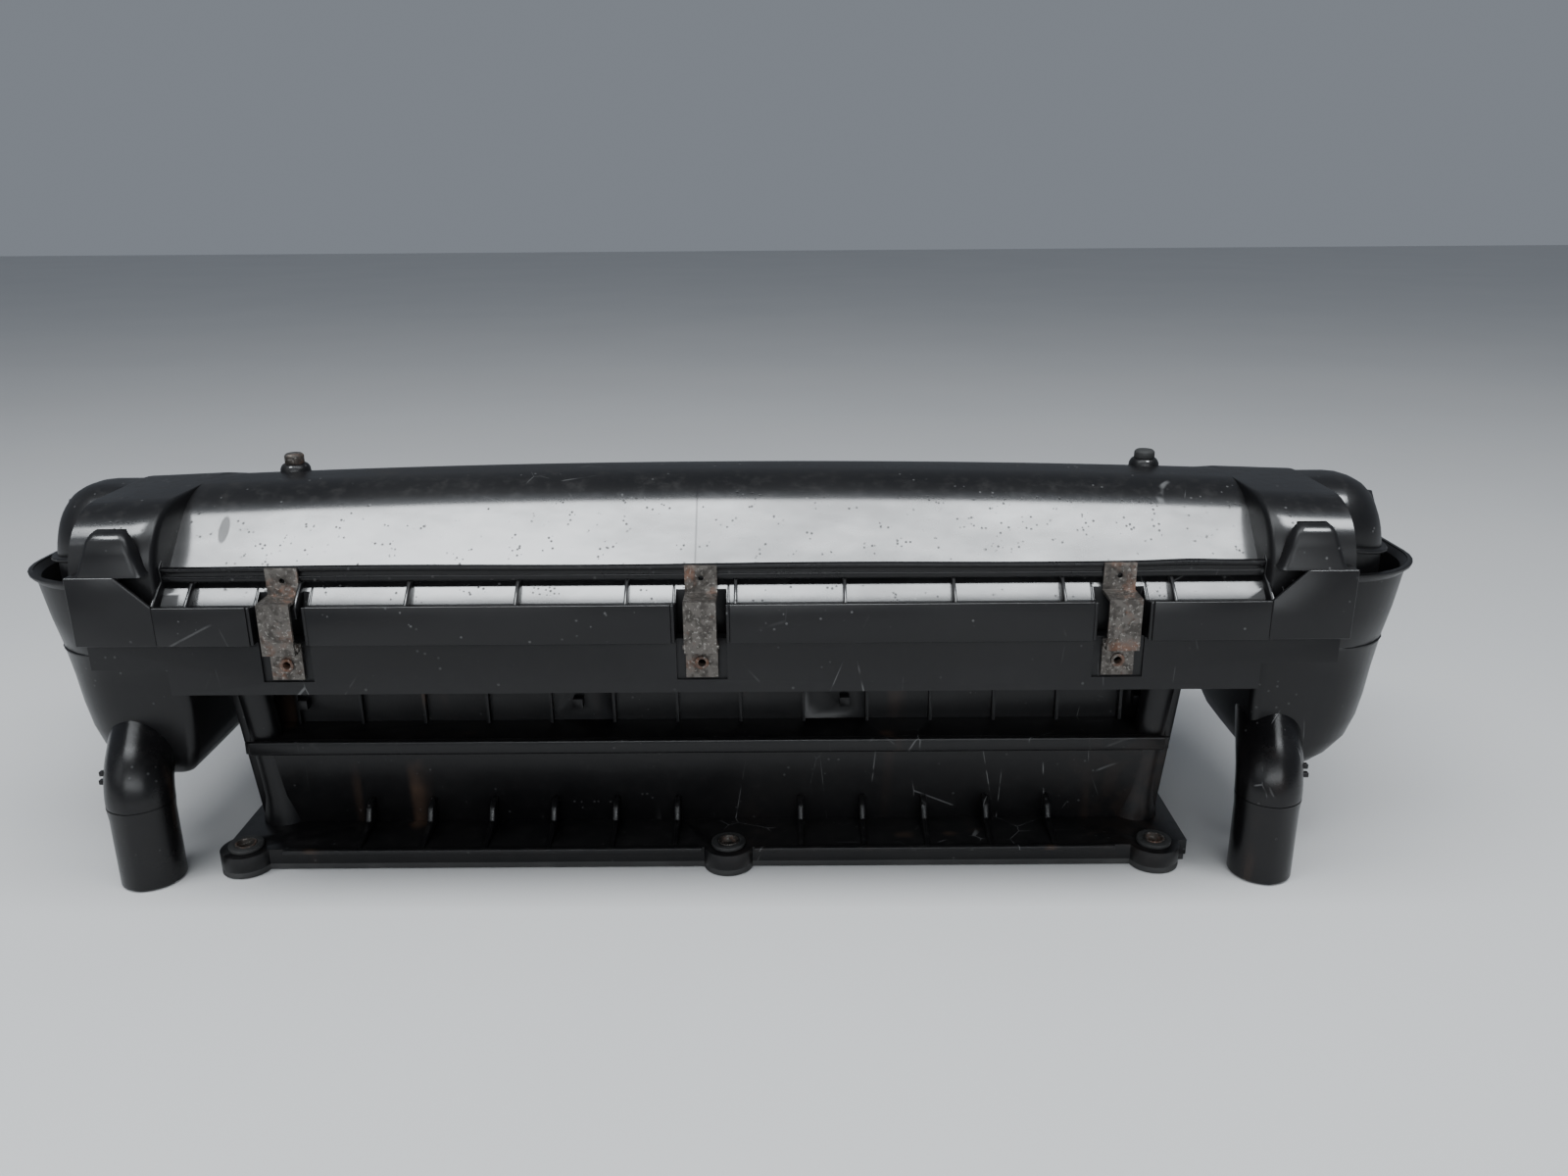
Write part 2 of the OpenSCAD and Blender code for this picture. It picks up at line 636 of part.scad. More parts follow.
// A rectangular ring of a given wall under the cover.
module filter_ring(thick, low, high) difference() {
    block([outlet_shift - filter_half, filter_front, low],
          [outlet_shift + filter_half, filter_back, high]);
    block([outlet_shift - filter_half + thick, filter_front + thick, low - 1],
          [outlet_shift + filter_half - thick, filter_back - thick, high + 1]);
}

module filter_frame() color([0.2, 0.2, 0.22]) place()
    filter_ring(filter_wall, filter_low, filter_low + filter_h);

module filter_seal() color(RUBBER) place()
    filter_ring(filter_wall + 3, tray_z + wall, filter_low);

// A folded sheet whose folds run from front to back inside the frame.
module filter_media() color([0.85, 0.83, 0.74]) place() {
    span = 2 * (filter_half - filter_wall);
    pleats = floor(span / pleat_pitch);
    pitch = span / pleats;
    sheet = 1.6;
    low = filter_low + 2;
    high = filter_low + filter_h - 2;
    x0 = outlet_shift - filter_half + filter_wall;
    upper = [for (i = [0:2 * pleats])
        [x0 + i * pitch / 2, (i % 2 == 0 ? low : high - sheet) + sheet]];
    lower = [for (i = [2 * pleats:-1:0])
        [x0 + i * pitch / 2, i % 2 == 0 ? low : high - sheet]];
    translate([0, filter_back - filter_wall, 0]) rotate([90, 0, 0])
        linear_extrude(filter_back - filter_front - 2 * filter_wall)
            polygon(concat(upper, lower));
}

cover();
front_rail();
intake_grille();
top_stud();
top_buffer();
cover_gasket();
filter_tray();
outlet_duct();
duct_flange();
flange_seal();
flange_bushes();
bush_sleeves();
left_drain_bowl();
right_drain_bowl();
left_spout();
right_spout();
left_clip_foot();
centre_clip_foot();
right_clip_foot();
left_clip_strap();
centre_clip_strap();
right_clip_strap();
clip_hinge_pins();
clip_rivets();
filter_frame();
filter_media();
filter_seal();
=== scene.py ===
"""A wide black air filter housing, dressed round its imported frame."""

import json
import math

import bmesh
import bpy
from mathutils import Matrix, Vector


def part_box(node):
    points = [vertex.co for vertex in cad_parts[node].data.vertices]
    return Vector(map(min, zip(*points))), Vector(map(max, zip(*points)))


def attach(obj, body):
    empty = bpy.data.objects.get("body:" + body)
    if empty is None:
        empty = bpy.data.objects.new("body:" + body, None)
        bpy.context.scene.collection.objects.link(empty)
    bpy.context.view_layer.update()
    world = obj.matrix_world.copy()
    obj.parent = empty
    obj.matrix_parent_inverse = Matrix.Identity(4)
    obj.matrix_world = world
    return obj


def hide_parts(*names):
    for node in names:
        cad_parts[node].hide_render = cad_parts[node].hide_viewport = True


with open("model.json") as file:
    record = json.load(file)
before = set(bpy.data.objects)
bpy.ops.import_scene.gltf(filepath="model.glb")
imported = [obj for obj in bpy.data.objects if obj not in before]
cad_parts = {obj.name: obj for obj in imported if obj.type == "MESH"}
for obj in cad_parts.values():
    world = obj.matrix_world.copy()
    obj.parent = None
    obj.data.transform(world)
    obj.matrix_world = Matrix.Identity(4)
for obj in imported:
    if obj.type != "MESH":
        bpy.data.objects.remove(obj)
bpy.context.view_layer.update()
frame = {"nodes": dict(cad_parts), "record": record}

bl_info = {
    "name": "Air Filter Housing",
    "version": (1, 0, 0),
    "blender": (4, 5, 0),
    "location": "View3D > Sidebar > Housing",
    "description": "Builds the visible pieces and finishes of an air filter housing",
    "category": "Add Mesh",
}

MM = 0.001


def node_box(name):
    """A node's lowest and highest corner in millimetres."""
    low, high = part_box(name)
    return low / MM, high / MM


# Places that the pieces share, in millimetres. FRONT is the face of the cover's board.
COVER_LOW, COVER_HIGH = node_box("cover")
TRAY_LOW, TRAY_HIGH = node_box("filter_tray")
DUCT_LOW, DUCT_HIGH = node_box("outlet_duct")
RAIL_LOW, RAIL_HIGH = node_box("front_rail")
GRILLE_LOW, GRILLE_HIGH = node_box("intake_grille")
BOWL_LOW, BOWL_HIGH = node_box("right_drain_bowl")
FRONT = COVER_LOW.y
SEAM = TRAY_HIGH.z
REAR = COVER_HIGH.y
GUTTER_X = RAIL_HIGH.x
CAP_X = COVER_HIGH.x
BOARD_X = TRAY_HIGH.x + 2
CLIPS = [sum(corner.x for corner in node_box(side + "_clip_strap")) / 2
         for side in ("left", "centre", "right")]
BOWL_FRONT, BOWL_BACK = BOWL_LOW.y - FRONT, BOWL_HIGH.y - FRONT
CHANNEL = RAIL_LOW.y - FRONT                 # depth of the clips' channels
POCKET = 22                                  # width of the clips' pockets
BOARD_WALL = 2.2


# ---- Sizes and colours ----------------------------------------------------

def length(name, description, default):
    """A length property whose default is in millimetres."""
    return bpy.props.FloatProperty(name=name, description=description, default=default * MM,
                                   min=0.0, unit="LENGTH")


def colour(name, description, default):
    return bpy.props.FloatVectorProperty(name=name, description=description, default=default,
                                         subtype="COLOR", size=3, min=0.0, max=1.0)


class HousingSizes(bpy.types.PropertyGroup):
    """Wall, rounding and rib sizes of the moulded pieces."""

    wall: length("Wall", "Wall thickness of the mouldings", 2.6)
    edge: length("Edge rounding", "Rounding of the moulded edges", 0.7)
    front_wall: length("Front wall", "Set-back of the cover's front wall behind its board", 8)
    slope_start: length("Slope start", "Height of the slope's foot above the seam", 15.4)
    crest_round: length("Crest rounding", "Radius between the slope and the crest", 37)
    crown: length("Crown", "Drop of the crest towards the ends", 6)
    rib_pitch: length("Gutter rib pitch", "Spacing of the ribs across the gutter", 47)
    gusset_pitch: length("Gusset pitch", "Spacing of the gussets on the flange", 31.65)


class HousingColours(bpy.types.PropertyGroup):
    """Colours of the finishes."""

    plastic: colour("Plastic", "Black moulded plastic", (0.0045, 0.0043, 0.0048))
    dust: colour("Dust", "Dust that lies on the plastic", (0.16, 0.15, 0.14))
    worn: colour("Worn edge", "Brown tone of rubbed plastic", (0.10, 0.06, 0.04))
    zinc: colour("Zinc", "Aged zinc on the clips", (0.115, 0.105, 0.095))
    rust: colour("Rust", "Rust on the clips", (0.13, 0.05, 0.022))
    rubber: colour("Rubber", "Seals and bushes", (0.018, 0.018, 0.018))
    paper: colour("Paper", "Pleated filter paper", (0.78, 0.75, 0.64))


# ---- Shader graphs ----------------------------------------------------------

class Wire:
    """A shader socket that takes part in Python expressions."""

    def __init__(self, graph, socket):
        self.graph, self.socket = graph, socket

    def math(self, operation, *others):
        return self.graph.add("ShaderNodeMath", {"operation": operation},
                              dict(enumerate((self,) + others)))

    def __add__(self, other):
        return self.math("ADD", other)

    __radd__ = __add__

    def __mul__(self, other):
        return self.math("MULTIPLY", other)

    __rmul__ = __mul__

    def __sub__(self, other):
        return self.math("SUBTRACT", other)

    def __rsub__(self, other):
        return self.graph.add("ShaderNodeMath", {"operation": "SUBTRACT"}, {0: other, 1: self})

    def __pow__(self, other):
        return self.math("POWER", other)

    def over(self, low, high):
        """0 below low, 1 above high, and smooth between."""
        return self.graph.add("ShaderNodeMapRange", {"interpolation_type": "SMOOTHSTEP"},
                              {"Value": self, "From Min": low, "From Max": high})

    def most(self, other):
        return self.math("MAXIMUM", other)


class Graph:
    """A material's nodes, with its Principled shader and object coordinates ready."""

    def __init__(self, name):
        self.material = bpy.data.materials.new(name)
        self.material.use_nodes = True
        self.nodes = self.material.node_tree.nodes
        self.shader = next(n for n in self.nodes if n.type == "BSDF_PRINCIPLED")
        self.place = self.add("ShaderNodeTexCoord", {}, {}, "Object")
        self.normal = self.add("ShaderNodeNewGeometry", {}, {}, "Normal")

    def put(self, socket, value):
        if isinstance(value, Wire):
            self.material.node_tree.links.new(value.socket, socket)
        elif hasattr(value, "__len__"):
            value = tuple(value)
            socket.default_value = value + (1.0,) * (len(socket.default_value) - len(value))
        else:
            socket.default_value = value

    def add(self, kind, settings, sockets, output=0):
        node = self.nodes.new(kind)
        for name, value in settings.items():
            setattr(node, name, value)
        for name, value in sockets.items():
            self.put(node.inputs[name], value)
        return Wire(self, node.outputs[output])

    def stretch(self, scale, turn=(0, 0, 0)):
        return self.add("ShaderNodeMapping", {}, {"Vector": self.place, "Scale": scale,
                                                  "Rotation": turn})

    def noise(self, scale, detail=3.0, vector=None, rough=0.5):
        return self.add("ShaderNodeTexNoise", {}, {"Vector": vector or self.place,
                        "Scale": scale, "Detail": detail, "Roughness": rough})

    def cells(self, scale, feature="F1", vector=None):
        return self.add("ShaderNodeTexVoronoi", {"feature": feature},
                        {"Vector": vector or self.place, "Scale": scale}, "Distance")

    def part(self, vector, axis):
        return self.add("ShaderNodeSeparateXYZ", {}, {0: vector}, axis)

    def mix(self, share, first, second):
        node = self.nodes.new("ShaderNodeMix")
        node.data_type = "RGBA"
        self.put(node.inputs[0], share)
        self.put(node.inputs[6], first)
        self.put(node.inputs[7], second)
        return Wire(self, node.outputs[2])

    def bump(self, height, strength, distance):
        return self.add("ShaderNodeBump", {}, {"Height": height, "Strength": strength,
                                               "Distance": distance})

    def set(self, **sockets):
        for name, value in sockets.items():
            self.put(self.shader.inputs[name.replace("_", " ").title().replace("Ior", "IOR")],
                     value)
        return self.material


MATERIALS = {}


def shared(make):
    """Makes each finish once, under the name of its function."""
    def fetch(*settings):
        key = (make.__name__,) + settings
        if key not in MATERIALS:
            MATERIALS[key] = make(*settings)
        return MATERIALS[key]
    return fetch


def scuffs(g, scale, amount):
    """Thin pale scratches, gathered where a slow noise is high."""
    lines = g.cells(scale, "DISTANCE_TO_EDGE", g.stretch((1.0, 1.0, 0.35), (0.3, 0.5, 0.2)))
    field = g.noise(9.0, 1.0).over(0.62 - 0.1 * amount, 0.74)
    breaks = g.noise(70.0, 2.0).over(0.5, 0.62)
    return (1 - lines.over(0.002, 0.008)) * field * breaks


def specks(g, scale, size):
    """Small round flecks, one in some of the cells."""
    return (1 - g.cells(scale).over(size * 0.6, size)) * g.noise(scale * 0.31, 0.0).over(0.58, 0.66)


@shared
def moulded_plastic(name, gloss=0.34, dusty=0.35, streaky=0.0):
    """Black plastic with grain, dust on top faces, scuffs, flecks and rubbed patches."""
    c = bpy.context.scene.housing_colours
    g = Graph(name)
    up = g.part(g.normal, "Z").over(0.1, 0.9)
    film = g.noise(14.0, 4.0).over(0.38, 0.72)
    dust = g.noise(160.0, 4.0, None, 0.65).over(0.45, 0.8) * (up * 0.7 + 0.3) * dusty
    marks = scuffs(g, 34.0, 1.0).most(specks(g, 210.0, 0.16) * 0.25)
    rubbed = g.noise(6.5, 3.0).over(0.6, 0.78) * g.noise(120.0, 3.0).over(0.4, 0.62)
    base = g.mix(dust * 0.12 + film * 0.012, c.plastic, c.dust)
    base = g.mix(rubbed * 0.1, base, c.worn)
    base = g.mix(marks * 0.3, base, (0.42, 0.42, 0.42))
    if streaky:
        runs = g.noise(30.0, 2.0, g.stretch((1.0, 1.0, 0.06))).over(0.6, 0.7)
        broken = g.noise(22.0, 3.0).over(0.4, 0.66)
        base = g.mix(runs * broken * streaky * 0.6, base, c.worn)
    rough = gloss + film * 0.1 + dust * 0.3 + marks * 0.2
    grain = g.noise(2600.0, 2.0) * 0.35 + g.noise(420.0, 2.0) * 0.3 + g.noise(30.0, 1.0) * 1.6
    return g.set(base_color=base, roughness=rough, specular_ior_level=0.32,
                 normal=g.bump(grain - marks, 0.22, 0.0004))


@shared
def cover_plastic():
    """The cover's plastic: as elsewhere, with the polished slope and its smudges."""
    c = bpy.context.scene.housing_colours
    g = Graph("cover_plastic")
    up, ahead = g.part(g.normal, "Z"), g.part(g.normal, "Y")
    across, height = g.part(g.place, "X"), g.part(g.place, "Z")
    frayed = g.noise(240.0, 3.0) * 0.03
    slope = ((up - ahead + frayed).over(1.392, 1.418)
             * (1 - g.part(g.normal, "X").math("ABSOLUTE").over(0.04, 0.1)))
    thumb = (((across + 0.218) * 420) ** 2 + ((height - 0.181) * 200) ** 2).over(0.7, 1.2)
    seam = (1 - (across + 0.008).math("ABSOLUTE").over(0.0001, 0.0007)) * slope
    film = g.noise(14.0, 4.0).over(0.38, 0.72)
    clouds = g.noise(11.0, 5.0, g.stretch((0.45, 1.0, 1.0)), 0.65).over(0.36, 0.66)
    dust = g.noise(160.0, 4.0, None, 0.65).over(0.45, 0.8) * up.over(0.3, 0.95)
    marks = scuffs(g, 30.0, 1.2).most(specks(g, 230.0, 0.16) * 0.5)
    pits = specks(g, 420.0, 0.3)
    rubbed = g.noise(6.5, 3.0).over(0.62, 0.78) * g.noise(120.0, 3.0).over(0.4, 0.62)
    base = g.mix(dust * 0.05 + film * 0.012, c.plastic, c.dust)
    base = g.mix(rubbed * 0.1, base, c.worn)
    base = g.mix(marks * 0.3, base, (0.4, 0.4, 0.4))
    rough = 0.36 + film * 0.08 + dust * 0.12 + marks * 0.2 - slope * 0.1 + clouds * slope * 0.05
    grain = g.noise(2600.0, 2.0) * 0.3 + g.noise(420.0, 2.0) * 0.25 + g.noise(26.0, 1.0) * 1.2
    shine = slope * (1 - pits * 0.9) * (0.42 + clouds * 0.58) * (thumb * 0.75 + 0.25)
    shine = shine * (1 - seam * 0.5)
    relief = grain - marks - pits * slope * 2 + seam * 3
    return g.set(base_color=base, roughness=rough, coat_weight=shine, coat_roughness=0.16,
                 coat_ior=2.1, specular_ior_level=0.32, normal=g.bump(relief, 0.18, 0.0004))


@shared
def aged_zinc(name, rusty=0.4):
    """Zinc-plated strip: dull grey with bright flecks, dark stains and rust."""
    c = bpy.context.scene.housing_colours
    g = Graph(name)
    stain = g.noise(330.0, 4.0).over(0.42, 0.62)
    rust = g.noise(75.0, 5.0, None, 0.7).over(0.62 - 0.28 * rusty, 0.78 - 0.2 * rusty)
    flecks = g.noise(800.0, 2.0).over(0.58, 0.66)
    base = g.mix(stain * 0.55, c.zinc, (0.022, 0.019, 0.017))
    base = g.mix(rust * 0.7, base, c.rust)
    base = g.mix(flecks * 0.35, base, (0.42, 0.40, 0.37))
    metal = 0.85 - rust * 0.7
    rough = 0.42 + stain * 0.2 + rust * 0.3
    grain = g.noise(700.0, 4.0) + rust * 1.5
    return g.set(base_color=base, metallic=metal, roughness=rough,
                 normal=g.bump(grain, 0.35, 0.0003))


@shared
def dull_rubber(name):
    """Black rubber or foam with a fine open grain."""
    c = bpy.context.scene.housing_colours
    g = Graph(name)
    bloom = g.noise(60.0, 4.0).over(0.4, 0.75)
    pores = g.cells(900.0)
    base = g.mix(bloom * 0.25, c.rubber, (0.09, 0.088, 0.085))
    return g.set(base_color=base, roughness=0.68 + bloom * 0.15,
                 normal=g.bump(pores, 0.3, 0.0003))


@shared
def filter_paper():
    """Off-white filter paper with fibres and a dusty face."""
    c = bpy.context.scene.housing_colours
    g = Graph("filter_paper")
    fibres = g.noise(900.0, 4.0, g.stretch((1.0, 0.3, 1.0)))
    soot = g.noise(22.0, 4.0).over(0.45, 0.75)
    base = g.mix(soot * 0.35, c.paper, (0.35, 0.32, 0.27))
    return g.set(base_color=base, roughness=0.85, normal=g.bump(fibres, 0.4, 0.0003))


FINISHES = {
    "cover": (cover_plastic,), "front_rail": (moulded_plastic, "rail_plastic", 0.26, 0.3),
    "intake_grille": (moulded_plastic, "grille_plastic", 0.45, 0.5),
    "top_stud": (aged_zinc, "stud_zinc", 0.7), "top_buffer": (dull_rubber, "buffer_rubber"),
    "cover_gasket": (dull_rubber, "gasket_rubber"),
    "filter_tray": (moulded_plastic, "tray_plastic", 0.4, 0.3),
    "outlet_duct": (moulded_plastic, "duct_plastic", 0.28, 0.5, 1.0),
    "duct_flange": (moulded_plastic, "duct_plastic", 0.28, 0.5, 1.0),
    "flange_seal": (dull_rubber, "seal_foam"), "flange_bushes": (dull_rubber, "bush_rubber"),
    "bush_sleeves": (aged_zinc, "sleeve_zinc", 0.5),
    "left_drain_bowl": (moulded_plastic, "bowl_plastic", 0.3, 0.3),
    "right_drain_bowl": (moulded_plastic, "bowl_plastic", 0.3, 0.3),
    "left_spout": (moulded_plastic, "spout_plastic", 0.2, 0.3, 0.7),
    "right_spout": (moulded_plastic, "spout_plastic", 0.2, 0.3, 0.7),
    "clip_foot": (aged_zinc, "foot_zinc", 0.45), "clip_strap": (aged_zinc, "strap_zinc", 0.4),
    "clip_hinge_pins": (aged_zinc, "pin_zinc", 0.3), "clip_rivets": (aged_zinc, "rivet_rust", 0.9),
    "filter_frame": (moulded_plastic, "filter_edge", 0.55, 0.6),
    "filter_media": (filter_paper,), "filter_seal": (dull_rubber, "filter_seal_rubber"),
}


def finish_of(node):
    """The finish that a CAD node or the pieces that stand for it take."""
    key = node if node in FINISHES else "_".join(node.split("_")[1:])
    make, *settings = FINISHES[key]
    return make(*settings)


def body_of(node):
    bodies = frame["record"]["behaviour"]["bodies"]
    return next(body for body, nodes in bodies.items() if node in nodes)


# ---- Mesh making ------------------------------------------------------------
# Shapes are made in millimetres, with Y counted from the face of the cover's board.

def arc_points(before, corner, after, radius, steps):
    """Points round a corner: an arc of that radius that leaves both sides smoothly."""
    a = (Vector(before) - Vector(corner)).normalized()
    b = (Vector(after) - Vector(corner)).normalized()
    turn = math.pi - a.angle(b)
    reach = radius * math.tan(turn / 2) if turn > 0.02 else radius * 0.3
    start, end = Vector(corner) + a * reach, Vector(corner) + b * reach
    if turn <= 0.02:
        return [start.lerp(end, i / steps) for i in range(steps + 1)]
    middle = Vector(corner) + (a + b).normalized() * (radius / math.cos(turn / 2))
    points = []
    for i in range(steps + 1):
        share = math.sin(turn * (1 - i / steps)), math.sin(turn * i / steps)
        points.append(middle + ((start - middle) * share[0] + (end - middle) * share[1])
                      / math.sin(turn))
    return points


def rounded(corners, steps=5, closed=True):
    """A flat outline from (a, b, radius) corners; a radius of 0 keeps the corner."""
    flat = [Vector(c[:2]) for c in corners]
    outline = []
    for i, (*_, radius) in enumerate(corners):
        ends = not closed and i in (0, len(corners) - 1)
        if radius and not ends:
            outline += arc_points(flat[i - 1], flat[i], flat[(i + 1) % len(flat)], radius, steps)
        else:
            outline.append(flat[i])
    return outline


def loft(bm, rings, closed=False):
    """Quads between neighbouring rings of points. Returns the vertices, ring by ring."""
    grid = [[bm.verts.new(p) for p in ring] for ring in rings]
    for first, second in zip(grid, grid[1:]):
        count = len(first)
        for i in range(count if closed else count - 1):
            j = (i + 1) % count
            bm.faces.new((first[i], first[j], second[j], second[i]))
    return grid


def capped_loft(bm, rings):
    """A closed solid through closed rings of points."""
    grid = loft(bm, rings, True)
    bm.faces.new(grid[0])
    bm.faces.new(grid[-1])


def prism(bm, outline, low, high, axis="x"):
    """A closed solid: a flat outline carried along an axis."""
    def spot(point, level):
        a, b = point
        return {"x": (level, a, b), "y": (a, level, b), "z": (a, b, level)}[axis]
    capped_loft(bm, [[spot(p, level) for p in outline] for level in (low, high)])


def slab(bm, low, high):
    """A closed block between two corners."""
    prism(bm, [(low[0], low[1]), (high[0], low[1]), (high[0], high[1]), (low[0], high[1])],
          low[2], high[2], "z")


def piece(name, bm, node, edge=0.0, wall=0.0, sharp=35.0, stands_for=True, steps=3):
    """Turns a mesh in millimetres into a finished piece that rides on the node's body."""
    bmesh.ops.remove_doubles(bm, verts=bm.verts, dist=0.001)
    bmesh.ops.recalc_face_normals(bm, faces=bm.faces)
    for v in bm.verts:
        v.co = Vector((v.co.x, v.co.y + FRONT, v.co.z)) * MM
    mesh = bpy.data.meshes.new(name)
    bm.to_mesh(mesh)
    bm.free()
    return finish_piece(bpy.data.objects.new(name, mesh), node, edge, wall, sharp, stands_for,
                        steps)


def with_modifiers(obj):
    """Puts the result of an object's modifiers into its own mesh."""
    graph = bpy.context.evaluated_depsgraph_get()
    plain = bpy.data.meshes.new_from_object(obj.evaluated_get(graph))
    obj.modifiers.clear()
    obj.data = plain


def finish_piece(obj, node, edge=0.0, wall=0.0, sharp=35.0, stands_for=True, steps=3):
    bpy.context.scene.collection.objects.link(obj)
    mesh = obj.data
    mesh.materials.clear()
    mesh.materials.append(finish_of(node))
    mesh.shade_smooth()
    if wall:
        shell = obj.modifiers.new("wall", "SOLIDIFY")
        shell.thickness, shell.offset = wall * MM, -1.0
    if edge:
        bevel = obj.modifiers.new("edges", "BEVEL")
        bevel.width, bevel.segments = edge * MM, steps
        bevel.limit_method, bevel.angle_limit = "ANGLE", math.radians(32)
        bevel.harden_normals = True
    if wall or edge:
        with_modifiers(obj)
    obj.data.set_sharp_from_angle(angle=math.radians(sharp))
    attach(obj, body_of(node))
    if stands_for:
        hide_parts(node)
    return obj


def rounded_copy(node, edge):
    """A copy of a CAD node with its flat faces joined up and its edges rounded."""
    obj = frame["nodes"][node].copy()
    obj.data = obj.data.copy()
    obj.name = obj.data.name = node + "_rounded"
    obj.parent = None
    for key in list(obj.keys()):
        del obj[key]
    bm = bmesh.new()
    bm.from_mesh(obj.data)
    bmesh.ops.remove_doubles(bm, verts=bm.verts, dist=0.00001)
    bmesh.ops.dissolve_limit(bm, angle_limit=math.radians(1.0), verts=bm.verts, edges=bm.edges)
    bm.to_mesh(obj.data)
    bm.free()
    finish_piece(obj, node, edge, steps=2)


def repeat_group():
    """Geometry nodes that repeat a shape in a straight row and join the row up."""
    tree = bpy.data.node_groups.new("row_of_ribs", "GeometryNodeTree")
    face = tree.interface
    face.new_socket("Geometry", in_out="INPUT", socket_type="NodeSocketGeometry")
    face.new_socket("Count", in_out="INPUT", socket_type="NodeSocketInt")
    face.new_socket("Pitch", in_out="INPUT", socket_type="NodeSocketVector")
    face.new_socket("Finish", in_out="INPUT", socket_type="NodeSocketMaterial")
    face.new_socket("Geometry", in_out="OUTPUT", socket_type="NodeSocketGeometry")
    enter, leave = tree.nodes.new("NodeGroupInput"), tree.nodes.new("NodeGroupOutput")
    line = tree.nodes.new("GeometryNodeMeshLine")
    copies = tree.nodes.new("GeometryNodeInstanceOnPoints")
    real = tree.nodes.new("GeometryNodeRealizeInstances")
    paint = tree.nodes.new("GeometryNodeSetMaterial")
    for a, b in ((enter.outputs["Count"], line.inputs["Count"]),
                 (enter.outputs["Pitch"], line.inputs["Offset"]),
                 (line.outputs["Mesh"], copies.inputs["Points"]),
                 (enter.outputs["Geometry"], copies.inputs["Instance"]),
                 (copies.outputs["Instances"], real.inputs["Geometry"]),
                 (real.outputs["Geometry"], paint.inputs["Geometry"]),
                 (enter.outputs["Finish"], paint.inputs["Material"]),
                 (paint.outputs["Geometry"], leave.inputs["Geometry"])):
        tree.links.new(a, b)
    return tree


def repeated(obj, count, pitch):
    """Repeats a finished piece along X through geometry nodes."""
    tree = bpy.data.node_groups.get("row_of_ribs") or repeat_group()
    row = obj.modifiers.new("row", "NODES")
    row.node_group = tree
    values = {"Count": count, "Pitch": (pitch * MM, 0.0, 0.0), "Finish": obj.data.materials[0]}
    for item in tree.interface.items_tree:
        if item.in_out == "INPUT" and item.name in values:
            row[item.identifier] = values[item.name]
    with_modifiers(obj)


class PieceOperator(bpy.types.Operator):
    """Shared ground of the operators: each makes its pieces or raises an error."""

    bl_options = {"REGISTER", "UNDO"}

    def execute(self, context):
        self.build(context.scene.housing_sizes)
        return {"FINISHED"}


# ---- Cover ------------------------------------------------------------------

CAP_START = BOARD_X + 2                      # where the body steps in to its end caps
CAP_ROUND = 26
CREST_BACK = 88                              # where the top begins to fall to the rear
CAP_INSET = 8                                # from the bowl's rim to the cap's wall
STUD_ROOT = 12                               # length of a stud inside its boss
LIP_DROP = 33                                # from the crest down to the cap's lip at its root
COVER_TOP = COVER_HIGH.z


def cover_corners(kind, x, s, inset=0.0):
    """Six corners of the cover's side outline, as (y, z, radius)."""
    back = REAR - FRONT
    top = COVER_TOP - s.crown / MM * min(1.0, abs(x) / BOARD_X) ** 2
    start = SEAM + s.slope_start / MM
    front = s.front_wall / MM
    low = SEAM + 1.2
    rear = [(back, top - 39, 6), (back, low, 0)]
    if kind == "slope":
        return [(front, low, 0), (front, start, 1.5),
                (front + top - start, top, s.crest_round / MM), (84, top, 60)] + rear
    if kind == "block":
        return [(front, low, 0), (front, start, 1.5), (front, top, 30), (CREST_BACK, top, 60)] + rear
    low = COVER_LOW.z
    y0, y1 = BOWL_FRONT + CAP_INSET + inset, BOWL_BACK - CAP_INSET - inset
    top -= 1 + inset
    return [(y0, low, 0), (y0, low + 20, 1.5), (y0, top, min(24, 0.9 * (top - low - 20))),
            (CREST_BACK, top, 40), (y1, top - 32 + 0.7 * inset, 16), (y1, low, 0)]


def cover_outline(kind, x, s, inset=0.0):
    """The outline with a fixed number of points, so that all kinds can be joined."""
    corners = cover_corners(kind, x, s, inset)
    flat = [Vector(c[:2]) for c in corners]
    arcs = [[flat[0]]]
    for i, steps in ((1, 3), (2, 12), (3, 4), (4, 8)):
        arcs.append(arc_points(flat[i - 1], flat[i], flat[i + 1], corners[i][2], steps))
    arcs.append([flat[5]])
    notch = (CHANNEL - s.front_wall / MM) * math.sqrt(2)
    high, low = GRILLE_HIGH.z, GRILLE_LOW.z
    drop = arcs[4][-1].y - flat[5].y
    fall = [min(0.9, max(0.02, (arcs[4][-1].y - z) / drop)) for z in (high, low)]
    first = arcs[1][-1], arcs[2][0]
    spots = [[0.5], [(notch - 0.6) / (first[1] - first[0]).length if kind == "slope" else 0.1,
                     0.3, 0.5, 0.7, 0.9], [0.5], [0.2, 0.4, 0.6, 0.8], fall]
    line = list(arcs[0])
    for before, after, shares in zip(arcs, arcs[1:], spots):
        line += [before[-1].lerp(after[0], share) for share in shares]
        line += after
    return line


NOTCH_ROW = 1 + 1 + 4                        # first row of points above the clips' channels
GRILLE_ROW = -3                              # row of faces that the intake opens
ROOM = 1.5                                   # least spacing of stations beside an opening


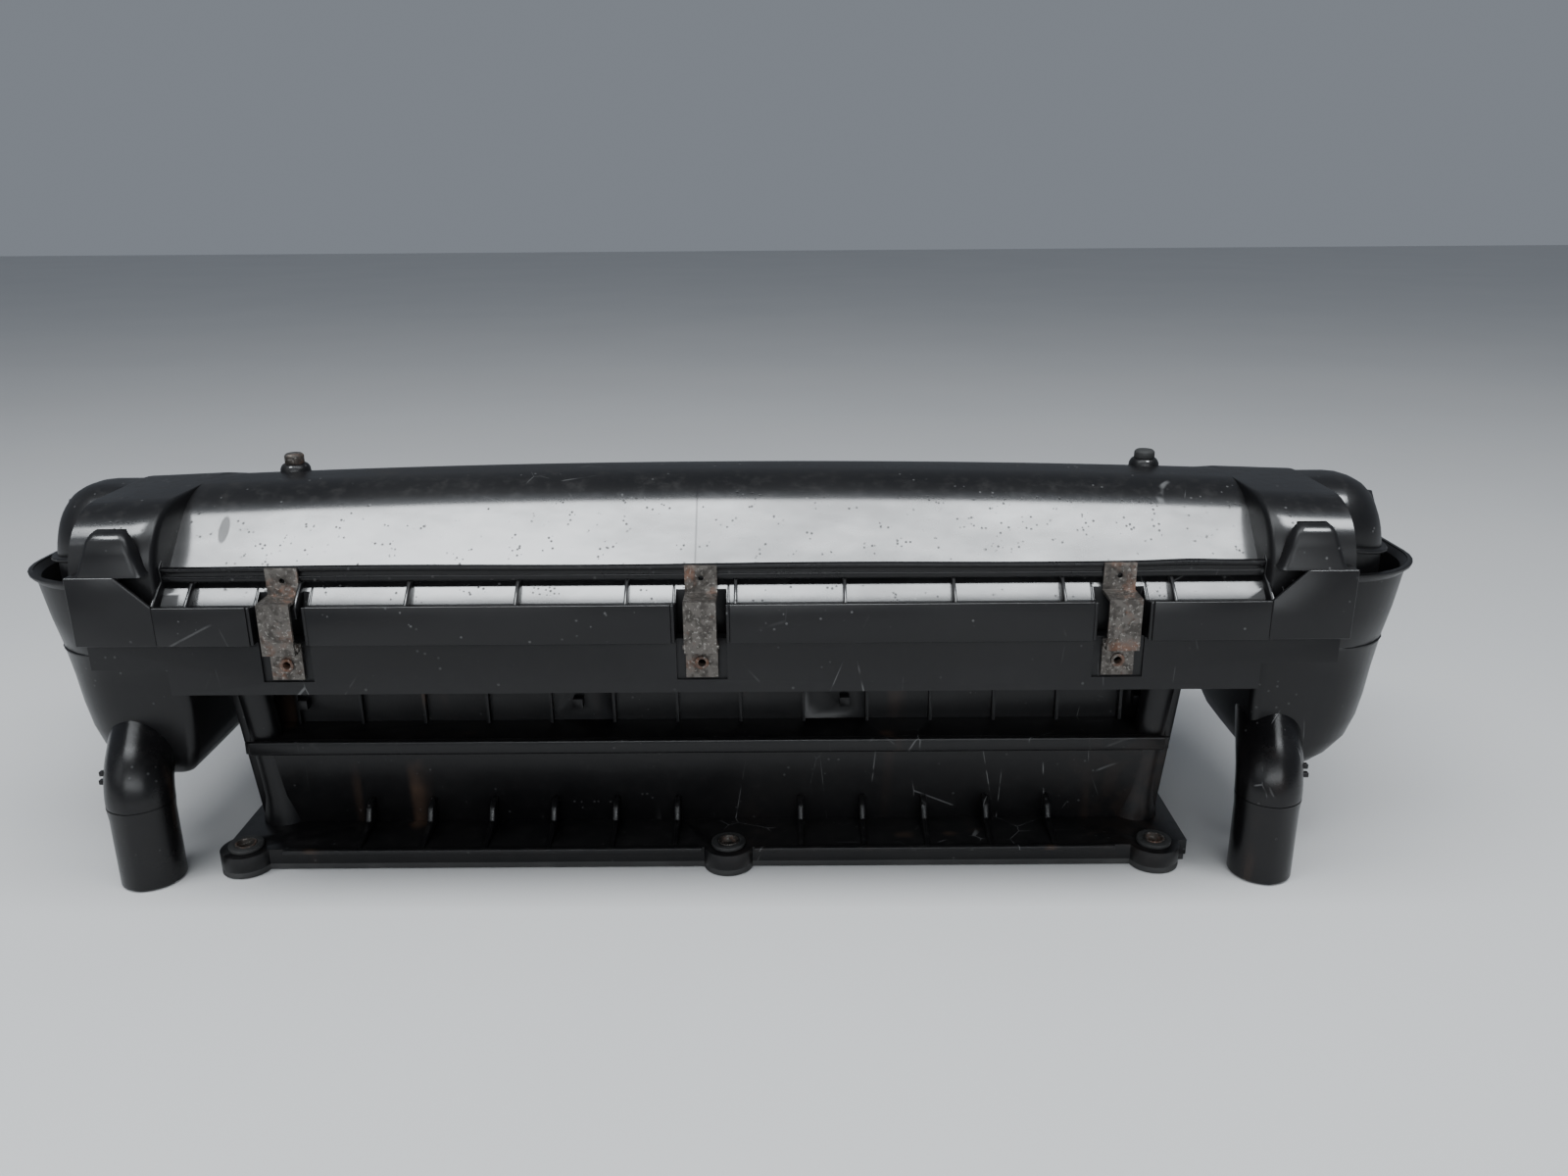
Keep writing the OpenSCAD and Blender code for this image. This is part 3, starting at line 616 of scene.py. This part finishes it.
def cover_stations():
    """The kinds of outline and their shares at each x along the cover's right half."""
    stations = {0.0: (("slope", 1.0),)}
    count = 28
    for i in range(1, count + 1):
        stations[GUTTER_X * i / count] = (("slope", 1.0),)
    soft = (0.0, 0.06, 0.3, 0.7, 0.94, 1.0)
    for step, share in ((0, 0.0), (0.5, 0.8), (1.1, 0.93), (1.9, 0.985), (2.8, 1.0)):
        stations[GUTTER_X + step] = (("slope", 1 - share), ("block", share))
    for i, share in enumerate(soft):
        stations[CAP_START + 0.4 * i] = (("block", 1 - share), ("cap", share))
    for x in (GUTTER_X + 12, GUTTER_X + 24):
        stations[x] = (("block", 1.0),)
    stations[CAP_START + 10] = (("cap", 1.0),)
    return stations


class COVER_OT_shell(PieceOperator):
    """The crowned cover with its slope, end blocks and rounded caps."""

    bl_idname = "housing.cover_shell"
    bl_label = "Cover shell"

    def build(self, s):
        half = {x: (kinds, 0.0) for x, kinds in cover_stations().items()}
        for i in range(9):
            angle = math.radians(90 * i / 8)
            x = CAP_X - CAP_ROUND + CAP_ROUND * math.sin(angle)
            half[x] = ((("cap", 1.0),), CAP_ROUND * (1 - math.cos(angle)) * 0.999)
        whole = {sign * x: spec for x, spec in half.items() for sign in (-1, 1)}
        for clip in CLIPS:
            whole = {x: v for x, v in whole.items()
                     if min(abs(x - clip + POCKET / 2), abs(x - clip - POCKET / 2)) > ROOM}
            for x in (clip - POCKET / 2, clip + POCKET / 2):
                whole[x] = ((("slope", 1.0),), 0.0)
        grille = GRILLE_HIGH.x
        whole = {x: v for x, v in whole.items() if abs(abs(x) - grille) > ROOM}
        whole[grille] = whole[-grille] = ((("slope", 1.0),), 0.0)
        places = sorted(whole)
        rings = []
        for x in places:
            kinds, inset = whole[x]
            lines = [(share, cover_outline(kind, x, s, inset)) for kind, share in kinds]
            ring = [sum((line[i] * share for share, line in lines), Vector((0, 0)))
                    for i in range(len(lines[0][1]))]
            rings.append([(x, p.x, p.y) for p in ring])
        bm = bmesh.new()
        grid = loft(bm, rings)
        bm.faces.new(grid[0])
        bm.faces.new(grid[-1])
        doomed = []
        rows = len(grid[0])
        for a, ring in enumerate(grid[:-1]):
            middle = (places[a] + places[a + 1]) / 2
            held = any(abs(middle - clip) < POCKET / 2 for clip in CLIPS)
            for row in range(rows - 1):
                face = next(f for f in ring[row].link_faces
                            if {ring[row + 1], grid[a + 1][row]} <= set(f.verts))
                if held and row < NOTCH_ROW:
                    doomed.append(face)
                if abs(middle) < grille and row == rows + GRILLE_ROW:
                    doomed.append(face)
        bmesh.ops.delete(bm, geom=doomed, context="FACES")
        piece("cover_shell", bm, "cover", wall=s.wall / MM, sharp=50)


def sweep(bm, path, section):
    """Carries a closed section along a level path; the section's x points to the path's left."""
    rings = []
    for i, (x, y, z) in enumerate(path):
        before, after = path[max(i - 1, 0)], path[min(i + 1, len(path) - 1)]
        along = Vector((after[0] - before[0], after[1] - before[1])).normalized()
        rings.append([(x - along.y * n, y + along.x * n, z + h) for n, h in section])
    capped_loft(bm, rings)


class COVER_OT_fittings(PieceOperator):
    """The end caps' lips, the bosses on the crest and the rail on the gutter's ribs."""

    bl_idname = "housing.cover_fittings"
    bl_label = "Cover fittings"

    def build(self, s):
        bm = bmesh.new()
        front, back = BOWL_FRONT + CAP_INSET, BOWL_BACK - CAP_INSET
        flat = rounded([(CAP_START + 1, front, 0), (CAP_X - 3, front, 24),
                        (CAP_X - 3, back, 24), (CAP_START + 1, back, 0)], 8, False)
        for sign in (-1, 1):
            path = [(sign * p.x, p.y, COVER_TOP - LIP_DROP - 9 * (p.x - CAP_START) / 46
                     - 14 * max(0.0, (p.y - CREST_BACK) / (back - CREST_BACK))) for p in flat]
            section = [(sign * n, h) for n, h in ((1.5, -1), (-4, -1.2), (-4.6, 0), (-4, 1.1),
                                                  (1.5, 1.2))]
            sweep(bm, path, section)
        piece("cap_lips", bm, "cover", edge=0.3, stands_for=False)
        self.bosses()
        self.rail()

    def bosses(self):
        """Low round bosses under the stud and the buffer."""
        bm = bmesh.new()
        for node in ("top_stud", "top_buffer"):
            low, high = node_box(node)
            x, y = (low.x + high.x) / 2, (low.y + high.y) / 2 - FRONT
            seat = low.z + STUD_ROOT
            rings = [[(x + r * math.cos(t), y + r * math.sin(t), seat + z)
                      for t in (math.tau * i / 24 for i in range(24))]
                     for r, z in ((7.4, -7), (6.9, -2.2), (6.3, -1.0), (5.7, -0.3), (5.2, 0))]
            capped_loft(bm, rings)
        piece("stud_bosses", bm, "cover", stands_for=False)

    def rail(self):
        """The rail has a groove along its face and wavers a little, most near one end."""
        bm = bmesh.new()
        z0, z1 = RAIL_LOW.z, RAIL_HIGH.z
        y0, y1 = CHANNEL, RAIL_HIGH.y - FRONT
        rings = []
        steps = 120
        for i in range(steps + 1):
            x = -GUTTER_X + 2 * GUTTER_X * i / steps
            wave = 0.25 * math.sin(x / 31) + 0.5 * math.exp(-((x - 205) / 14) ** 2)
            side = [(y0 + 0.1, z0), (y0 + 0.1, z0 + 2.2), (y0 + 0.7, z0 + 2.6),
                    (y0 + 0.7, z0 + 4.4), (y0 - 0.5, z0 + 4.8), (y0 - 0.5, z1 - 0.3),
                    (y1, z1), (y1, z0)]
            rings.append([(x, y, z + wave * (z - z0) / 6) for y, z in side])
        capped_loft(bm, rings)
        piece("grooved_rail", bm, "front_rail", edge=0.2)


BOARD_RAISE = 31                             # height of the board's ends above the seam


class COVER_OT_front(PieceOperator):
    """The front board with its gutter, channel walls, ribs and buttresses."""

    bl_idname = "housing.cover_front"
    bl_label = "Cover front"

    def build(self, s):
        bm = bmesh.new()
        top, lip = SEAM + 17.4, SEAM + 1.2
        floor = SEAM + 11.4
        inner = s.front_wall / MM + 0.4
        wall = BOARD_WALL
        section = [(0, SEAM), (wall, SEAM), (wall, lip), (inner, lip), (inner, lip + wall),
                   (wall, lip + wall), (wall, floor - wall), (inner, floor - wall),
                   (inner, floor), (wall + 3.2, floor), (wall + 1.4, floor + 0.5),
                   (wall + 0.3, floor + 1.7), (wall, floor + 3.2), (wall, top), (0, top)]
        edges = [-GUTTER_X] + [c + side * (POCKET / 2 + 1.6) for c in CLIPS for side in (-1, 1)]
        edges.append(GUTTER_X)
        for low, high in zip(edges[::2], edges[1::2]):
            prism(bm, section, low, high)
        for clip in CLIPS:
            side = [(0.4, SEAM + 0.2), (CHANNEL + 2.6, SEAM + 0.2),
                    (CHANNEL + 2.6, RAIL_LOW.z - 2.4), (CHANNEL + 2, RAIL_LOW.z - 2.5),
                    (inner - 0.3, SEAM + 15.6), (0.4, SEAM + 17.2)]
            for sign in (-1, 1):
                x = clip + sign * (POCKET / 2 + 0.8)
                prism(bm, side, x - 0.78, x + 0.78)
            back = [(CHANNEL, SEAM + 0.3), (CHANNEL + 2.5, SEAM + 0.3),
                    (CHANNEL + 2.5, RAIL_LOW.z - 2.6), (CHANNEL, RAIL_LOW.z - 4.6)]
            prism(bm, back, clip - POCKET / 2, clip + POCKET / 2)
        piece("cover_board", bm, "cover", edge=0.35)
        self.ends(s, top, lip, inner)
        self.ribs(s, floor)

    def ends(self, s, top, lip, inner):
        """The raised ends of the board, closed over to the body, and a buttress on each."""
        bm = bmesh.new()
        raised = SEAM + BOARD_RAISE
        for sign in (-1, 1):
            face = [(sign * GUTTER_X, SEAM), (sign * BOARD_X, SEAM), (sign * BOARD_X, raised),
                    (sign * (GUTTER_X + 14), raised), (sign * GUTTER_X, top)]
            prism(bm, face, 0, BOARD_WALL, "y")
            slab(bm, (min(sign * (GUTTER_X + 13), sign * BOARD_X), 2.1, raised - 2.4),
                 (max(sign * (GUTTER_X + 13), sign * BOARD_X), inner + 0.6, raised - 0.15))
            slab(bm, (sign * (BOARD_X - 1.3) - 1.2, 2.1, lip),
                 (sign * (BOARD_X - 1.3) + 1.2, inner + 0.6, raised - 0.2))
            cheek = [(2.1, top - 4), (2.1, top), (CHANNEL, RAIL_LOW.z + 0.4),
                     (CHANNEL, RAIL_HIGH.z), (inner + 8, RAIL_HIGH.z + 3), (inner + 8, top - 4)]
            prism(bm, cheek, sign * GUTTER_X, sign * (GUTTER_X + 2))
        piece("cover_board_ends", bm, "cover", edge=0.6, stands_for=False)
        bm = bmesh.new()
        for sign in (-1, 1):
            x = sign * (BOARD_X - 18)
            rings = []
            for z, wide, front in ((raised - 0.3, 14.5, 1.0), (raised + 1.2, 13.4, 1.8),
                                   (raised + 9, 10.6, 3.0), (raised + 14.5, 9, 4.4),
                                   (raised + 17, 7.6, 6.4), (raised + 18.2, 6.2, 9.6)):
                ring = rounded([(x - wide, inner + 2, 0), (x - wide, front, 2.6),
                                (x + wide, front, 2.6), (x + wide, inner + 2, 0)], 4)
                rings.append([(p.x, p.y, z) for p in ring])
            capped_loft(bm, rings)
        piece("cover_buttresses", bm, "cover", sharp=60, stands_for=False)

    def ribs(self, s, floor):
        """Thin ribs that cross the gutter and carry the rail."""
        bm = bmesh.new()
        pitch = s.rib_pitch / MM
        count = 2 * int(GUTTER_X / pitch) + 1
        start = 10 - (count // 2) * pitch
        rib = [(2.1, floor - 0.1), (2.1, floor + 5), (CHANNEL - 1, RAIL_LOW.z - 0.2),
               (CHANNEL + 4.2, RAIL_LOW.z - 0.2), (s.front_wall / MM + 0.6, floor - 0.1)]
        prism(bm, rib, start - 0.7, start + 0.7)
        repeated(piece("gutter_ribs", bm, "cover", edge=0.25, stands_for=False), count, pitch)


# ---- Drain bowls and spouts -------------------------------------------------

class DRAIN_OT_bowls(PieceOperator):
    """Two open bowls under the cover's ends."""

    bl_idname = "housing.drain_bowls"
    bl_label = "Drain bowls"

    def build(self, s):
        # Each ring: height, inner and outer X, front and back Y, corner radius.
        low, reach, front, back = BOWL_LOW.z, BOWL_HIGH.x, BOWL_FRONT, BOWL_BACK
        lobe = BOARD_X - 16
        rim = BOWL_HIGH.z
        rings = [(rim, 240.6, reach, front, back, 42),
                 (rim - 1.2, 240.4, reach - 0.2, front + 0.2, back - 0.2, 42),
                 (rim - 4, 240.2, reach - 2.6, front + 2.4, back - 2.4, 41),
                 (130, 240.2, reach - 5, front + 4.5, back - 6, 40),
                 (114.6, 240.2, reach - 8, front + 7, back - 12, 38),
                 (114.0, 241.0, reach - 8.2, front + 7.4, back - 12.5, 38),
                 (113.6, lobe - 2, reach - 8.6, front + 8, back - 13, 38),
                 (112, lobe, reach - 9.4, front + 9, back - 14, 37),
                 (98, lobe, reach - 11.6, front + 10, back - 24, 36),
                 (84, lobe, reach - 13, front + 11, back - 42, 34),
                 (72, lobe + 1, reach - 15.5, front + 12, back - 60, 31),
                 (62, lobe + 2.5, reach - 20, front + 13.5, back - 74, 26),
                 (54, lobe + 5, reach - 29, front + 15.5, back - 86, 20),
                 (48.5, lobe + 9, reach - 39, front + 19, back - 96, 12),
                 (low, lobe + 13, reach - 49, front + 25, back - 104, 6)]
        for name, sign in (("left", -1), ("right", 1)):
            bm = bmesh.new()
            circles = []
            for z, x0, x1, y0, y1, r in rings:
                r = min(r, 0.48 * (x1 - x0), 0.48 * (y1 - y0))
                inner = min(r, 5)
                circles.append([(sign * p.x, p.y, z) for p in rounded(
                    [(x0, y0, inner), (x1, y0, r), (x1, y1, r), (x0, y1, inner)], 9)])
            grid = loft(bm, circles, True)
            bm.faces.new(grid[-1])
            piece(name + "_bowl", bm, name + "_drain_bowl", wall=2.4, edge=0.35, sharp=48)


SPOUT_RADIUS, SPOUT_WALL = 15.0, 2.0
ELBOW_HEIGHT, ELBOW_BEND = 52, 12
STUB = 8, 34, 24                             # the stub's run: outwards, back and up


class DRAIN_OT_spouts(PieceOperator):
    """Hose spouts: a straight foot, an elbow and a stub into the bowl."""

    bl_idname = "housing.drain_spouts"
    bl_label = "Drain spouts"

    def build(self, s):
        for name in ("left", "right"):
            low, high = node_box(name + "_spout")
            sign = -1 if name == "left" else 1
            x = low.x + SPOUT_RADIUS if name == "right" else high.x - SPOUT_RADIUS
            self.tube(name, x, sign)

    def tube(self, name, x, sign):
        foot = Vector((x, BOWL_FRONT, 0))
        elbow = foot + Vector((0, 0, ELBOW_HEIGHT))
        head = elbow + Vector((sign * STUB[0], STUB[1], STUB[2]))
        lead = (head - elbow).normalized()
        path = [(foot + Vector((0, 0, z)), Vector((0, 0, 1))) for z in (0, 0.8, 20, 36, 42)]
        for i in range(9):
            t = i / 8
            a, b = elbow - Vector((0, 0, ELBOW_BEND)), elbow + lead * ELBOW_BEND
            spot = a.lerp(elbow, t).lerp(elbow.lerp(b, t), t)
            path.append((spot, (elbow - a).lerp(b - elbow, t).normalized()))
        path.append((head, lead))
        rings = []
        steps = 40
        for r_off, order in ((0.0, path), (-SPOUT_WALL, path[::-1])):
            for spot, along in order:
                up = Vector((1, 0, 0)) - along * along.x
                up.normalize()
                side = along.cross(up)
                r = SPOUT_RADIUS + r_off
                r += 0.5 if 40 < spot.z < 60 and r_off == 0 else 0.0
                r -= 0.7 if spot.z < 0.5 and r_off == 0 else 0.0
                rings.append([spot + (up * math.cos(t) + side * math.sin(t))
                              * (r + self.seam(t, r_off))
                              for t in (math.tau * i / steps for i in range(steps))])
        bm = bmesh.new()
        grid = loft(bm, rings, True)
        for i in range(steps):
            j = (i + 1) % steps
            bm.faces.new((grid[-1][i], grid[-1][j], grid[0][j], grid[0][i]))
        piece(name + "_tube", bm, name + "_spout", sharp=40)
        bm = bmesh.new()
        for turn, z, reach in ((0, 51, 4.2), (0, 55.5, 3.4), (0.16, 53, 2.6)):
            at = foot + Vector((sign * (SPOUT_RADIUS - 1), turn * 20, z))
            slab(bm, (min(at.x, at.x + sign * reach), at.y - 1.4, at.z),
                 (max(at.x, at.x + sign * reach), at.y + 1.4, at.z + 2.4))
        piece(name + "_clamp_tabs", bm, name + "_spout", edge=0.4, stands_for=False)

    def seam(self, turn, offset):
        """A fine parting line down the front and back of the tube."""
        return 0.0 if offset else 0.35 * max(0.0, math.cos(turn - math.pi / 2) ** 64)


# ---- Outlet duct ------------------------------------------------------------

LEDGE_HEIGHT = 52
GUSSET_ROOM = 7                              # from the flange's plate to the top of its node


class DUCT_OT_fittings(PieceOperator):
    """Rounded pillars, the ledge with its two edges, and the flange's gussets and lips."""

    bl_idname = "housing.duct_fittings"
    bl_label = "Duct fittings"

    def build(self, s):
        flange_low, flange_high = node_box("duct_flange")
        middle = (DUCT_LOW.x + DUCT_HIGH.x) / 2
        front = DUCT_LOW.y - FRONT + 5
        top, foot = TRAY_LOW.z - 0.2, DUCT_LOW.z
        half_top, taper = DUCT_HIGH.x - middle, 12
        bm = bmesh.new()
        for sign in (-1, 1):
            rings = []
            for i in range(15):
                t = i / 14
                z = top + (foot - top) * t
                x = middle + sign * (half_top - taper * (top - z) / (top - foot) - 7.6)
                r = 8.6 + 2.2 * (1 - t) ** 4 + 3.0 * max(0.0, t - 0.85) / 0.15
                rings.append([(x + r * math.cos(a), front + 6 + r * 0.94 * math.sin(a), z)
                              for a in (math.tau * k / 28 for k in range(28))])
            capped_loft(bm, rings)
        piece("duct_pillars", bm, "outlet_duct", stands_for=False)
        bm = bmesh.new()
        z, half = LEDGE_HEIGHT, half_top - 10
        side = [(front + 2, z - 1.2), (front - 5.4, z - 0.7), (front - 6, z), (front - 6, z + 5.8),
                (front - 5.4, z + 6.7), (front - 4.2, z + 6.8), (front - 3.4, z + 6),
                (front - 3, z + 3.2), (front + 2, z + 2.6)]
        prism(bm, side, middle - half, middle + half)
        piece("duct_ledge", bm, "outlet_duct", edge=0.5, stands_for=False, sharp=50)
        self.gussets(s, middle, front, flange_low.y - FRONT, flange_high.z - GUSSET_ROOM)

    def gussets(self, s, middle, front, edge, base):
        """Upright gussets on the flange's plate, and a lip along its edge between the ears."""
        pitch = s.gusset_pitch / MM
        for name, first, count in (("left", -5.5, 6), ("right", 1.5, 5)):
            bm = bmesh.new()
            fin = [(edge + 6, base - 0.2), (front + 0.4, base - 0.2), (front + 0.4, base + 13.6),
                   (front - 4, base + 14), (front - 8, base + 11.5), (front - 11, base + 5)]
            x = middle + first * pitch
            prism(bm, fin, x - 1.5, x + 1.5)
            fins = piece("flange_gussets_" + name, bm, "duct_flange", edge=0.8, stands_for=False)
            repeated(fins, count, pitch)
        bm = bmesh.new()
        ear_low, ear_high = node_box("bush_sleeves")
        centre_ear, clear = middle + 11, 13
        side = [(edge + 5.1, base - 0.5), (edge + 5.1, base + 1.2), (edge + 6, base + 1.7),
                (edge + 7.4, base + 1.7), (edge + 8, base + 1), (edge + 8.4, base - 0.5)]
        prism(bm, side, ear_low.x + 2 * clear, centre_ear - clear)
        prism(bm, side, centre_ear + clear, ear_high.x - 2 * clear)
        piece("flange_lips", bm, "duct_flange", edge=0.3, stands_for=False)


# ---- Other nodes ------------------------------------------------------------

class HOUSING_OT_rounded(PieceOperator):
    """CAD nodes kept in their own shape, with their edges rounded."""

    bl_idname = "housing.rounded"
    bl_label = "Rounded CAD nodes"

    widths = {
        "intake_grille": 0.3, "cover_gasket": 0.3, "filter_tray": 0.5, "outlet_duct": 0.5,
        "duct_flange": 0.8, "flange_seal": 0.4, "flange_bushes": 0.3, "bush_sleeves": 0.2,
        "left_clip_foot": 0.15, "centre_clip_foot": 0.15, "right_clip_foot": 0.15,
        "left_clip_strap": 0.15, "centre_clip_strap": 0.15, "right_clip_strap": 0.15,
        "clip_hinge_pins": 0.1, "clip_rivets": 0.15, "top_stud": 0.25, "top_buffer": 0.4,
        "filter_frame": 0.5, "filter_media": 0.0, "filter_seal": 0.4,
    }

    def build(self, s):
        for node, edge in self.widths.items():
            rounded_copy(node, edge)


# ---- Stage ------------------------------------------------------------------

class HOUSING_OT_stage(bpy.types.Operator):
    """The floor, the lights and the camera."""

    bl_idname = "housing.stage"
    bl_label = "Stage"
    bl_options = {"REGISTER", "UNDO"}

    def execute(self, context):
        self.floor()
        self.world()
        self.area("overhead_strip", (2.4, 0.5), (0.0, (FRONT - 385) * MM, 1.6), (0, 0, 0), 42.0)
        self.area("front_panel", (2.6, 0.9), (0.2, -2.7, 1.7),
                  (math.radians(57), 0, 0), 16.0)
        self.area("front_strip", (2.2, 0.14), (0.1, -1.9, 0.85),
                  (math.radians(67), 0, 0), 15.0)
        self.area("side_fill", (1.6, 1.6), (-2.2, -1.6, 1.5),
                  (math.radians(58), 0, math.radians(-54)), 9.0)
        self.camera(context)
        return {"FINISHED"}

    def camera(self, context):
        """A wide lens close in front, looking down a little."""
        camera = bpy.data.cameras.new("camera")
        camera.lens, camera.sensor_width = 28.35, 36.0
        camera.clip_start = 0.02
        view = bpy.data.objects.new("camera", camera)
        view.location = (0.032, -0.6189, 0.3252)
        dip, roll = math.radians(18.1), math.radians(0.4)
        view.rotation_euler = (math.radians(90) - dip, roll, 0.0)
        context.scene.collection.objects.link(view)
        context.scene.camera = view

    def floor(self):
        g = Graph("stage_floor")
        tone = g.noise(3.0, 3.0)
        base = g.mix(tone, (0.60, 0.60, 0.60), (0.66, 0.655, 0.65))
        g.set(base_color=base, roughness=0.8)
        bm = bmesh.new()
        bmesh.ops.create_grid(bm, x_segments=1, y_segments=1, size=6.0)
        mesh = bpy.data.meshes.new("stage_floor")
        bm.to_mesh(mesh)
        bm.free()
        mesh.materials.append(g.material)
        floor = bpy.data.objects.new("stage_floor", mesh)
        floor.location.z = -0.0005
        bpy.context.scene.collection.objects.link(floor)

    def world(self):
        world = bpy.data.worlds.new("soft_sky")
        world.use_nodes = True
        back = world.node_tree.nodes["Background"]
        back.inputs["Color"].default_value = (0.80, 0.88, 1.0, 1.0)
        back.inputs["Strength"].default_value = 0.26
        bpy.context.scene.world = world

    def area(self, name, size, place, turn, power):
        light = bpy.data.lights.new(name, "AREA")
        light.shape, light.energy = "RECTANGLE", power
        light.size, light.size_y = size
        light.color = (0.93, 0.97, 1.0)
        lamp = bpy.data.objects.new(name, light)
        lamp.location, lamp.rotation_euler = place, turn
        bpy.context.scene.collection.objects.link(lamp)


# ---- Add-on -----------------------------------------------------------------

STEPS = (COVER_OT_shell, COVER_OT_front, COVER_OT_fittings, DRAIN_OT_bowls, DRAIN_OT_spouts,
         DUCT_OT_fittings, HOUSING_OT_rounded, HOUSING_OT_stage)


class HOUSING_PT_panel(bpy.types.Panel):
    """Lists the build steps and the sizes."""

    bl_idname = "HOUSING_PT_panel"
    bl_label = "Air Filter Housing"
    bl_space_type = "VIEW_3D"
    bl_region_type = "UI"
    bl_category = "Housing"

    def draw(self, context):
        for step in STEPS:
            self.layout.operator(step.bl_idname, text=step.bl_label)
        for group in (context.scene.housing_sizes, context.scene.housing_colours):
            for name in group.__annotations__:
                self.layout.prop(group, name)


CLASSES = (HousingSizes, HousingColours) + STEPS + (HOUSING_PT_panel,)


def register():
    for cls in CLASSES:
        bpy.utils.register_class(cls)
    bpy.types.Scene.housing_sizes = bpy.props.PointerProperty(type=HousingSizes)
    bpy.types.Scene.housing_colours = bpy.props.PointerProperty(type=HousingColours)


def unregister():
    del bpy.types.Scene.housing_colours
    del bpy.types.Scene.housing_sizes
    for cls in reversed(CLASSES):
        bpy.utils.unregister_class(cls)


def main():
    register()
    for step in STEPS:
        family, name = step.bl_idname.split(".")
        getattr(getattr(bpy.ops, family), name)()


if __name__ == "__main__":
    main()
